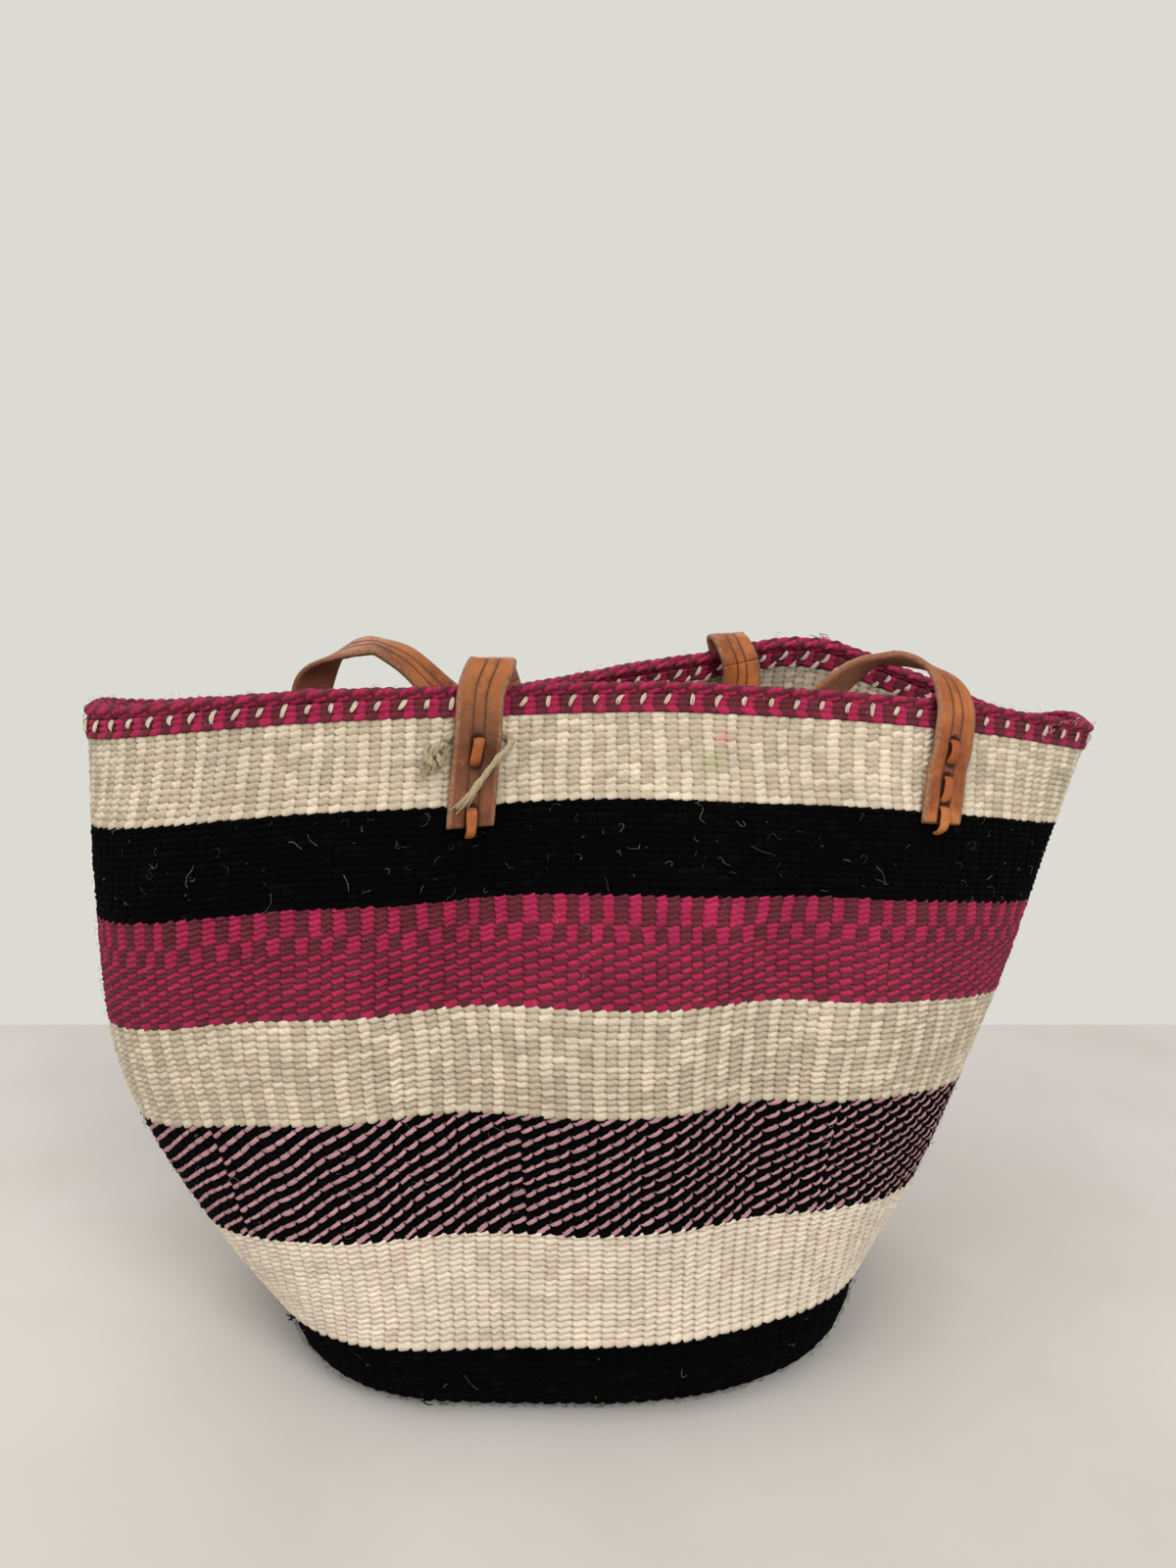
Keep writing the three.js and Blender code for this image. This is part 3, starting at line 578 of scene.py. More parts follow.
cream_wool = twisted_wool(
    "cream wool", [CREAM, CREAM_SHADE], BROWN_VALLEY_SHADE, 1.0, seen(206, 188, 156), spots=SPOTS
)
pale_wool = twisted_wool(
    "pale cream wool", [PALE_CREAM, PALE_CREAM_WARM], BROWN_VALLEY_SHADE, 0.8, seen(230, 194, 172)
)
black_wool = twisted_wool(
    "black wool", [BLACK, FADED_BLACK], BLACK_VALLEY_SHADE, 2.2, sheen=0.0, gloss=0.05
)
mixed_wool = twisted_wool(
    "black and light pink wool", [BLACK, LIGHT_PINK], RED_VALLEY_SHADE, 1.3, sheen=0.0, gloss=0.06,
    slim=True,
)
pink_wool = twisted_wool(
    "bright pink and maroon wool", [MAROON, BRIGHT_PINK], RED_VALLEY_SHADE, 1.2, sheen=0.05
)
rim_wool = twisted_wool(
    "rim wool", [MAROON, BRIGHT_PINK, WHITE_YARN], RED_VALLEY_SHADE, 1.2, sheen=0.05
)
strap_leather = tanned_leather(
    "strap leather", seen(152, 82, 32), seen(182, 110, 56), seen(108, 52, 20), seen(140, 94, 68)
)
lace_leather = tanned_leather(
    "lace leather", seen(182, 102, 44), seen(212, 136, 70), seen(146, 74, 30), seen(96, 56, 34)
)
jute_fibre = jute("jute")

# The woven bands. A stitch reaches from -0.5 to 0.5 both ways; its seams lie beyond 0.4
SHOULDER = 0.3
SEAM = 0.4
ACROSS = np.array([-0.5, -SHOULDER, 0.0, SHOULDER])
UP_INSIDE = np.array([-0.5, 0.0])
FLOOR_CLEARANCE = 0.1
STRAY = 0.035
SWAY_ROUND, SWAY_UP = 0.2, 0.5
RIM_SEED, RIM_COLUMNS, RIM_SPREAD = 18, 196, 0.05


def pillow(a, b):
    """The swell of one stitch: 1 in its middle, falling in a round shoulder to 0 along the rows,
    and to a third where it meets its neighbour in the row."""
    a, b = np.minimum(np.abs(2 * a), 1), np.minimum(np.abs(2 * b), 1)
    return (0.35 + 0.65 * (1 - a**2.6) ** 0.7) * (1 - b**2.2) ** 0.6


def uneven_edges(rng, count, spread):
    """Shares from 0 to 1 at which uneven widths start: the running sum of 1 plus a random part."""
    widths = 1 + rng.uniform(-spread, spread, count)
    return np.concatenate(([0], np.cumsum(widths))) / widths.sum()


def slow_wave(rng, v, turns):
    """A slow unevenness round the wall: a sum of sines of v with random starts, about 1 high."""
    starts = ((i, n, rng.random()) for i, n in enumerate(turns))
    return sum(np.sin(2 * np.pi * (n * v + x)) / (1 + 0.3 * i) for i, n, x in starts) / 1.6


def painted_valley_shade(a, b):
    """Painted shade between the stitches, from 0 to 1: a little along the rows, more along the
    columns and most where they cross."""
    beside, above = smoothstep(np.abs(a), 0.3, 0.5), smoothstep(np.abs(b), 0.3, 0.5)
    return 0.28 * beside + 0.3 * above + 0.42 * beside * above


def off_floor(points):
    """Points held just above the floor."""
    points[..., 2] = np.maximum(points[..., 2], FLOOR_CLEARANCE)
    return points


def weave_face(rng, band, ups, valley, peak, lean, scallop):
    """One side of a woven band. Column c and row r hold one stitch; a and b are the place across
    and up it. s = row line + b times the row's height + the lean's rise with a; d = valley +
    (peak - valley) times the pillow of a and b. The lowest stitches swell out over the band
    below by the scallop."""
    edges, lines, low, tall = band["edges"], band["lines"], band["low"], band["high"] - band["low"]
    columns, rows = len(edges) - 1, len(lines) - 1
    waves_round, waves_up = (np.random.default_rng(band["seed"] + k) for k in (1, 2))
    column = np.repeat(np.arange(columns), len(ACROSS))
    a = np.tile(ACROSS, columns)
    v = edges[column] + (a + 0.5) * np.diff(edges)[column]
    row = np.concatenate([np.repeat(np.arange(rows), len(ups)), [rows - 1]])
    b = np.concatenate([np.tile(ups, rows), [0.5]])
    beside, above = np.abs(a) > SEAM, np.abs(b)[:, None] > SEAM
    s = low + (lines[row] + (b + 0.5) * np.diff(lines)[row]) * tall
    inner = np.minimum(1, 4 * np.minimum(s - low, band["high"] - s) / tall)[:, None]
    inner[[0, -1]] = 0
    sway = inner * slow_wave(waves_round, v[None] + s[:, None] / 900, (2, 5, 9))
    v = v[None] + sway * SWAY_ROUND / columns
    v = v + inner * band["nudge"][row][:, column] * beside / columns
    s = s[:, None] + inner * slow_wave(waves_up, v, (5, 13, 31)) * SWAY_UP
    slant = np.where(beside, 0, a / SHOULDER) * lean * (1 + band["lean"][column])
    edge = np.ones((len(b), 1))
    edge[[0, -1]] = 0.4
    crown = pillow(a, 0) * (1 + band["lean"][column] / 2)
    s = s + slant * edge
    s[0] -= scallop * crown
    s[-1] += 0.3 * scallop * crown
    height = pillow(a[None], b[:, None]) * (1 + band["lift"][row][:, column])
    height = height - 0.7 * beside[None] * above
    if scallop:
        height[0] = 0.88 * crown
    d = valley + (peak - valley) * height + band["rib"][column] * pillow(a, 0)
    points = off_floor(on_wall(v, s, d + rng.normal(0, STRAY, d.shape)))
    # The points come with the painted shade for the valleys between the stitches
    return points, painted_valley_shade(a[None], b[:, None]), column, row, a, b


def weave_layout(column, row, a, b, columns):
    """The flat layout at each face's corners: stitches counted round and up."""
    across = np.append(column + a + 0.5, columns)
    grid = np.stack(np.meshgrid(across, row + b + 0.5), -1)
    corners = [grid[:-1, :-1], grid[:-1, 1:], grid[1:, 1:], grid[1:, :-1]]
    return np.stack(corners, -2).reshape(-1, 4, 2)


def weave_band(
    node, columns, rows, pattern, finish, slot, low, high, seed, thickness=WALL_THICKNESS,
    valley=-0.75, peak=0.5, lean=0.4, scallop=0.8, spread=0.13, rib=0.0, swapped_inside=False,
):
    """A closed woven ring: stitches outside, flatter stitches inside, joined at top and bottom."""
    rng = np.random.default_rng(seed)
    band = {"low": low, "high": high, "seed": seed}
    band["edges"] = uneven_edges(rng, columns, spread)
    band["lines"] = uneven_edges(rng, rows, 0.1)
    band["lean"] = rng.uniform(-0.35, 0.35, columns)
    band["lift"] = rng.uniform(-0.2, 0.2, (rows, columns))
    band["nudge"] = rng.uniform(-0.11, 0.11, (rows, columns))
    band["rib"] = rib * (1 - 2 * (np.arange(columns) % 2)) * rng.uniform(0.3, 1.2, columns)
    sides = [
        weave_face(rng, band, ACROSS, valley, peak, lean, scallop),
        weave_face(rng, band, UP_INSIDE, 0.6 - thickness, -0.3 - thickness, -lean, 0.0),
    ]
    around = columns * len(ACROSS)
    rows_out, rows_in = len(sides[0][0]), len(sides[1][0])
    start = rows_out * around
    quads = [
        ring_quads(rows_out, around),
        ring_quads(rows_in, around, start)[:, ::-1],
        join_rings(start - around, start + (rows_in - 1) * around, around),
        join_rings(start, 0, around),
    ]
    yarn = pattern(*np.meshgrid(np.arange(columns), np.arange(rows)), rng)
    tone = rng.random((rows, columns))
    yarns, tones, layouts = [], [], []
    for inside, (_, _, column, row, a, b) in enumerate(sides):
        side_yarn = 1 - yarn if inside and swapped_inside else yarn
        yarns.append(side_yarn[row[:-1]][:, column].ravel())
        tones.append(tone[row[:-1]][:, column].ravel())
        layout = weave_layout(column, row, a, b, columns)
        layouts.append(layout[:, ::-1] if inside else layout)
    for numbers in (yarns, tones):
        numbers += [numbers[0][-around:], numbers[0][:around]]
    piece = make_piece(
        node.replace("_band", "_weave"),
        np.concatenate([side[0].reshape(-1, 3) for side in sides]),
        np.concatenate(quads),
        finish,
        on_faces={"yarn": np.concatenate(yarns), "tone": np.concatenate(tones)},
        # painted shade for the valleys between the stitches
        on_points={"painted_crevice_shade": np.concatenate([side[1].ravel() for side in sides])},
        uv=np.concatenate([*layouts, np.zeros((2 * around, 4, 2))]),
    )
    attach(piece, "basket")
    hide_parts(node)
    return piece


def plain(column, row, rng):
    """One yarn, a few stitches of its second shade."""
    return (rng.random(column.shape) < 0.12).astype(int)


def ribbed(column, row, rng):
    """Every other column a shade darker, with some stitches out of step."""
    return (column + (rng.random(column.shape) < 0.14)) % 2


def checked(column, row, rng):
    """Two yarns that change places from stitch to stitch, with a few doubled stitches."""
    return (column + row + (rng.random(column.shape[1]) < 0.03).cumsum()) % 2


def striped_then_checked(column, row, rng):
    """Upright stripes at the top, a step to the side, then a check with some doubled rows."""
    from_top = row.max() - row
    doubled = (rng.random(column.shape[0]) < 0.08).cumsum()[:, None]
    check = (column + row + doubled) % 2
    return np.where(from_top < 5, column % 2, np.where(from_top < 7, (column + 1) % 2, check))


def blocks(column, row, rng):
    """One column maroon, the next pink."""
    return column % 2


# Each band from the floor up: its node, columns, rows, pattern, finish and slot, and what sets it
# apart from the plain weave
CHANGING = {"lean": 0.6, "swapped_inside": True}
BANDS = [
    ("base_band", 132, 14, plain, black_wool, "black_yarn", {"lean": 0.35, "scallop": 0.0}),
    ("lower_cream_band", 150, 19, plain, pale_wool, "pale_cream_yarn", {"lean": 0.5}),
    ("black_pink_band", 176, 18, checked, mixed_wool, "black_and_pink_yarn",
     {**CHANGING, "spread": 0.26}),
    ("middle_cream_band", 184, 16, ribbed, cream_wool, "cream_yarn", {"lean": 0.5, "rib": 0.15}),
    ("pink_band", 188, 19, striped_then_checked, pink_wool, "pink_yarn",
     {**CHANGING, "spread": 0.18}),
    ("black_band", 192, 14, plain, black_wool, "black_yarn", {}),
    ("upper_cream_band", 196, 13, ribbed, cream_wool, "cream_yarn", {"lean": 0.5, "rib": 0.2}),
    ("rim_band", RIM_COLUMNS, 3, blocks, rim_wool, "rim_yarn",
     {"thickness": 6.5, "peak": 1.3, "valley": 0.3, "lean": 0.2, "spread": RIM_SPREAD,
      "swapped_inside": True}),
]
FIRST_SEED = RIM_SEED + 1 - len(BANDS)
FOOT = 0.5
RIM_BAND_TOP = 317.3
band_edges = [FOOT, *BAND_TOPS[:7], RIM_BAND_TOP]
for count, (*facts, sizes) in enumerate(BANDS):
    weave_band(*facts, band_edges[count], band_edges[count + 1], FIRST_SEED + count, **sizes)


BASE_RINGS, BASE_AROUND = 34, 264
BASE_HUB, BASE_REACH = 0.02, 0.978
BASE_UNDERSIDE, BASE_TOP = 0.7, 4.5


def weave_base():
    """The round bottom: a disc of stitches in rings. A point is the centre plus a share of the way
    to the edge; the number of stitches in a ring halves twice towards the centre."""
    rng = np.random.default_rng(21)
    rings, around = BASE_RINGS, BASE_AROUND
    v = np.arange(around) / around
    edge = on_wall(v, 0.0)
    edge[:, 2] = 0
    centre = edge.mean(0)
    within = np.repeat(np.arange(rings), 3) + np.tile([0, 0.25, 0.7], rings)
    share = BASE_HUB + BASE_REACH * (np.concatenate([within, [rings]]) / rings)
    counted = (share - BASE_HUB) / BASE_REACH * rings
    ring = np.minimum(np.floor(counted + 1e-9), rings - 1)
    b = counted - ring - 0.5
    count = np.where(share > 0.5, 132, np.where(share > 0.24, 66, 33))
    phase = v[None] * count[:, None] + 0.37 * ring[:, None]
    a = phase - np.floor(phase) - 0.5
    swell = pillow(a, b[:, None])
    flat = centre + (edge - centre) * share[:, None, None]
    bottom = flat + UP * (BASE_UNDERSIDE - 0.6 * swell)[..., None]
    top = flat + UP * (BASE_TOP + 0.8 * swell)[..., None]
    rows = len(share)
    last, under = (rows - 1) * around, rows * around
    tone = rng.random((rows - 1, around))
    quads = np.concatenate([
        ring_quads(rows, around)[:, ::-1],
        ring_quads(rows, around, under),
        join_rings(under + last, last, around),
    ])
    outwards = np.broadcast_to((share * rings)[:, None], phase.shape)
    uv = np.tile(np.stack([phase, outwards], -1).reshape(-1, 2), (2, 1))
    hub = np.arange(around)
    piece = make_piece(
        "bottom_weave", np.concatenate([top.reshape(-1, 3), bottom.reshape(-1, 3)]), quads,
        black_wool,
        ends=[hub, (under + hub)[::-1]],
        on_faces={"yarn": rng.random(len(quads)) < 0.2, "tone": np.tile(tone.ravel(), 2)},
        # painted shade for the valleys between the stitches
        on_points={"painted_crevice_shade": np.tile(painted_valley_shade(a, b[:, None]).ravel(), 2)},
        uv=uv[quads],
    )
    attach(piece, "basket")
    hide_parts("base_disc")


weave_base()

# The rim
RIM_EDGES = uneven_edges(np.random.default_rng(RIM_SEED), RIM_COLUMNS, RIM_SPREAD)
PLAIT_MIDDLE, PLAIT_HALF_HEIGHT = 320.5, 3.2
PLAIT_DEPTH, PLAIT_HALF_DEPTH = -3, 4.2
PLAIT_ROWS, PLAIT_SHIFT = 5, 3
PLAIT_LEAN = 0.17


def plait_rim():
    """The plaited edge: short fat stitches of two yarns that take turns both ways, laid round a
    flat oval. At a turn t round the oval, s = middle + half height times sin t and d = depth +
    half depth times cos t, swollen by a pillow for each stitch; the columns step to the side in
    one turn, so the stitches slant."""
    rows, shift, quarter = PLAIT_ROWS, PLAIT_SHIFT, len(ACROSS)
    column = np.repeat(np.arange(RIM_COLUMNS), quarter)
    a = np.tile(ACROSS, RIM_COLUMNS)
    row = np.repeat(np.arange(rows), quarter)[:, None]
    b = np.tile(ACROSS, rows)[:, None]
    turned = (row + b + 0.5) / rows
    rng = np.random.default_rng(31)
    slant = PLAIT_LEAN * np.where(np.abs(a) > SEAM, 0, a / SHOULDER)
    leaning = slant * (1 + rng.uniform(-0.4, 0.4, RIM_COLUMNS)[column])
    count = column + a + 0.5 + shift * turned
    v = np.interp(np.mod(count, RIM_COLUMNS), np.arange(RIM_COLUMNS + 1), RIM_EDGES)
    lift = 1 + rng.uniform(-0.3, 0.3, (rows, RIM_COLUMNS))[row, column]
    turn = (turned + leaning / rows) * 2 * np.pi - np.pi / 2
    grow = 1 + 0.3 * (pillow(a, b) * lift - 0.55)
    s = PLAIT_MIDDLE + PLAIT_HALF_HEIGHT * np.sin(turn) * grow
    s = s + 0.35 * slow_wave(rng, v, (7, 19, 41))
    d = PLAIT_DEPTH + PLAIT_HALF_DEPTH * np.cos(turn) * grow
    around = RIM_COLUMNS * quarter
    k = np.arange(around)
    n = (k + 1) % around
    last, step = (rows * quarter - 1) * around, shift * quarter
    join = np.stack([last + k, last + n, (k + 1 + step) % around, (k + step) % around], -1)
    quads = np.concatenate([ring_quads(rows * quarter, around), join])
    flat = np.stack(np.broadcast_arrays(column + a, row + b), -1).reshape(-1, 2)
    piece = make_piece(
        "rim_plait", on_wall(v, s, d), quads, rim_wool,
        on_faces={"yarn": (column + row) % 2, "tone": rng.random((rows, RIM_COLUMNS))[row, column]},
        # painted shade for the valleys between the stitches
        on_points={"painted_crevice_shade": painted_valley_shade(a, b)},
        uv=flat[quads],
    )
    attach(piece, "basket")
    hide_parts("rim_braid")


plait_rim()


def tubes_on_wall(name, v, s, d, half_wide, half_high, around, finish, slot, **numbers):
    """Strands laid on the wall: each is an oval carried along its places v, s, d; the oval is
    half_wide along the wall and half_high out of it at each station."""
    v, s, d, wide, high = np.broadcast_arrays(v, s, d, half_wide, half_high)
    path = on_wall(v, s, d)
    oval = circle(around) * np.stack([high, wide], -1)[..., None, :]
    points = off_floor(sweep(path, out_of_wall(v, s), oval))
    tubes, stations = v.shape
    quads, ends = tube_faces(stations, around, tubes)
    steps = np.linalg.norm(np.diff(path, axis=1), axis=-1)
    length = np.concatenate([np.zeros((tubes, 1)), np.cumsum(steps, 1)], 1)[..., None]
    flat = np.stack(np.broadcast_arrays(length / 4, np.arange(around) / around), -1).reshape(-1, 2)
    faces_each = (stations - 1) * around
    per_face = {key: np.repeat(np.asarray(n), faces_each) for key, n in numbers.items()}
    piece = make_piece(name, points, quads, finish, ends=ends, on_faces=per_face, uv=flat[quads])
    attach(piece, "basket")
    return piece


# Rows of white stitches: the first seam, the height, the distance out and the lean in degrees
STITCH_ROWS = [(1, 314.9, 1.5, 70), (1, 315.0, -6.3, 132), (2, 310.6, -6.0, 132)]
STITCH_HALF_LENGTH, STITCH_THICKNESS, STITCH_PLY_APART = 2.6, 0.48, 0.42


def sew_rim():
    """White stitches across the rim: short curved pairs of strands that lean to the right, one over
    every second seam outside, and two looser rows of them inside."""
    rng = np.random.default_rng(32)
    t = np.array([-1, -0.88, -0.5, 0, 0.5, 0.88, 1.0])
    round_off = np.maximum(1 - np.abs(t) ** 2.6, 0.02) ** 0.5
    strands = []
    for first, height, out, angle in STITCH_ROWS:
        seam = RIM_EDGES[first:-1:2]
        v, s = seam[:, None], np.full((len(seam), 1), height)
        turn = np.radians(angle + rng.uniform(-13, 13, v.shape))
        half = STITCH_HALF_LENGTH * (1 + rng.uniform(-0.25, 0.2, v.shape))
        bend = rng.uniform(-0.2, 0.9, v.shape)
        d = np.broadcast_to(out + np.sign(out) * 0.4 * (1 - t**2), (len(seam), len(t)))
        for ply in (-1, 1):
            apart = ply * (STITCH_PLY_APART + 0.1 * np.sin(3 * t + rng.uniform(0, 3, v.shape)))
            apart = apart + bend * (t**2 - 0.4)
            reach = half * t + ply * rng.uniform(-0.3, 0.3, v.shape)
            beside = (reach * np.cos(turn) + apart * np.sin(turn)) / length_round(v, s)
            strands.append((v + beside, s + reach * np.sin(turn) - apart * np.cos(turn), d))
    v, s, d = (np.concatenate(part) for part in zip(*strands))
    thick = STITCH_THICKNESS * (1 + rng.uniform(-0.2, 0.25, (len(v), 1))) * round_off
    tubes_on_wall(
        "rim_stitches", v, s, d, thick, thick, 6, rim_wool, "rim_yarn",
        yarn=np.full(len(v), 2), tone=rng.random(len(v)),
    )


sew_rim()

# The leather straps. Their tabs lie on the wall below TAB_TOP, and lean to the side going down
STRAP_WIDTH = 19.0
STRAP_THICKNESS = 3.0
STRAP_GAP = 0.8
STRAP_LIFT_AT_RIM = 2.2
STRAP_LIFT_ZONE = (20, 11)
TAB_TOP = RIM_FOOT + RIM_BAND_HEIGHT / 2
FOLD_TAB_END = RIM_FOOT - 48
ARCH_TAB_END = RIM_FOOT - 44
FOLD_TAB_LEAN = 2.5
ARCH_TAB_LEAN = 5.5
# How far the curve from a tab to a crest keeps the tab's way, and the crest's
FOLD_PULL = (11, 6)
ARCH_PULL = (24, 15)
TAB_STEPS, FOLD_STEPS, ARCH_STEPS, LOOP_STEPS = 60, 40, 60, 24
CREST_DEPTH = -3.0
ROUTE_STEP, ROUTE_SOFT, WIDTH_SOFT, END_ZONE = 1.0, 1.6, 3.0, 4
# The hanging loop's stops: the way along from crest to crest (in the first list millimetres, in the
# second a share), the way inwards, the share of the drop, the twist in degrees, the share of the
# tilt and the share of the slide
LOOP_DROP = 70.0
LOOP_DOWN = [
    (0, 5, 0.018, 0, 0, 0),
    (0.5, 9.5, 0.072, 0, 0, 0.15),
    (1, 12, 0.164, 0, 0, 0.5),
    (3, 11.5, 0.343, 15, 0, 0.9),
    (8, 9, 0.56, 45, 0, 0.9),
    (19, 6, 0.82, 75, 0, 0.5),
    (37, 4, 1, 90, 0.08, 0.2),
    (60, 3, 0.98, 90, 0.25, 0),
]
LOOP_RISE = [
    (0.5, 4, 0.87, 90, 0.6, 0),
    (0.66, 5, 0.65, 90, 1, 0),
    (0.82, 4, 0.34, 90, 0.93, 0),
    (0.92, 2, 0.1, 90, 0.68, 0),
]
CREST_TILT = 0.28
LOOP_STARTS, LOOP_ENDS = 3, 11
# Each strap: where its fold and arch sit round the wall, the fold crest's rise, shift and slide,
# the arch crest's rise, how far it reaches along the rim and inwards, and the leather's tilt in
# degrees
FRONT_STRAP = {
    "fold_at": 0.7107, "arch_at": 0.9073, "fold_rise": 9.8, "fold_shift": 6.5, "fold_slide": 6,
    "arch_rise": 16.7, "reach": 23, "inside": 15, "tilt": 74,
}
REAR_STRAP = {
    "fold_at": 0.173, "arch_at": 0.3855, "fold_rise": 6, "fold_shift": 2.9, "fold_slide": -7,
    "arch_rise": 25, "reach": 29, "inside": 15, "tilt": 56,
}
# Where each stitch of a lace goes in and comes out, below the rim band
FOLD_STITCHES = [(11.5, 22), (40.5, 51.5)]
ARCH_STITCHES = [(7.5, 17), (23.5, 34), (37, 47.5)]


def tab_place(at, s, lean):
    """How far round a tab's middle line is at s: it moves by its lean from the top to the end."""
    return at + lean * (s - TAB_TOP) / (TAB_TOP - FOLD_TAB_END) / length_round(at, s)


def tab_distance(s):
    """How far out of the wall a tab's middle is: a small gap, and a lift over the rim band."""
    start, end = STRAP_LIFT_ZONE
    lift = STRAP_LIFT_AT_RIM * smoothstep(s, RIM_FOOT - start, RIM_FOOT - end)
    return STRAP_GAP + STRAP_THICKNESS / 2 + lift


def lay_tab(at, end, lean):
    """A tab's middle line from its end up to its top, and the direction of its width."""
    s = np.linspace(end, TAB_TOP, TAB_STEPS)
    v = tab_place(at, s, lean)
    return on_wall(v, s, tab_distance(s)), round_way(v, s)


def pulled_curve(a, b, c, d, steps):
    """A cubic curve from a to d, pulled towards b and c, without its first point: the cube of
    1 - t times a, 3 t times its square times b, and so on up to the cube of t times d."""
    t = np.linspace(0, 1, steps + 1)[1:, None]
    return (1 - t) ** 3 * a + 3 * t * (1 - t) ** 2 * b + 3 * t * t * (1 - t) * c + t**3 * d


def smooth_curve(points, samples):
    """A curve through points, so many samples between each two: a cubic between them, whose
    slopes come from three points each, with the square root of a distance as its span."""
    p = np.asarray(points, float)
    q = np.concatenate([[2 * p[0] - p[1]], p, [2 * p[-1] - p[-2]]])
    gap = np.sqrt(np.linalg.norm(np.diff(q, axis=0), axis=1))[:, None]
    a, b, c, d = q[:-3], q[1:-2], q[2:-1], q[3:]
    ga, gb, gc = gap[:-2], gap[1:-1], gap[2:]
    leave = ((b - a) / ga - (c - a) / (ga + gb) + (c - b) / gb) * gb
    arrive = ((c - b) / gb - (d - b) / (gb + gc) + (d - c) / gc) * gb
    t = (np.arange(samples) / samples)[None, :, None]
    b, c, leave, arrive = b[:, None], c[:, None], leave[:, None], arrive[:, None]
    curve = (2 * t**3 - 3 * t**2 + 1) * b + (t**3 - 2 * t**2 + t) * leave
    curve = curve + (3 * t**2 - 2 * t**3) * c + (t**3 - t**2) * arrive
    return np.concatenate([curve.reshape(-1, p.shape[1]), p[-1:]])


def even_path(path, spacing, *others):
    """A path and what goes with it, read in even steps of the length run so far."""
    length = np.concatenate(([0], np.cumsum(np.linalg.norm(np.diff(path, axis=0), axis=1))))
    wanted = np.linspace(0, length[-1], int(np.ceil(length[-1] / spacing)) + 1)
    spread = [
        np.stack([np.interp(wanted, length, part[:, k]) for k in range(part.shape[1])], -1)
        for part in (path, *others)
    ]
    return (wanted, *spread)


def softened(values, reach):
    """Values averaged with their neighbours by a bell: beyond its ends the row is turned about
    them, which keeps them in place."""
    half = int(3 * reach)
    weights = np.exp(-0.5 * (np.arange(-half, half + 1) / reach) ** 2)
    weights /= weights.sum()
    before = 2 * values[:1] - values[half:0:-1]
    after = 2 * values[-1:] - values[-2 : -half - 2 : -1]
    padded = np.concatenate([before, values, after])
    return np.stack([np.convolve(part, weights, "valid") for part in padded.T], -1)


def s_curve(steps):
    """A column of shares that goes from just above 0 to 1 in an even S."""
    return smoothstep(np.linspace(0, 1, steps + 1)[1:], 0, 1)[:, None]


def leave_tab(at, end, lean, pull, crest, crest_way, crest_width, steps):
    """A tab, and the curve from its top to a crest: it starts up the wall and ends along the
    crest's way, while its width turns to the crest's in an even S."""
    tab, width = lay_tab(at, end, lean)
    up = unit(on_wall(at, TAB_TOP + 1) - on_wall(at, TAB_TOP - 1))
    leaving, arriving = tab[-1] + up * pull[0], crest + crest_way * pull[1]
    curve = pulled_curve(tab[-1], leaving, arriving, crest, steps)
    turn = s_curve(steps)
    return tab, width, curve, width[-1] * (1 - turn) + crest_width * turn


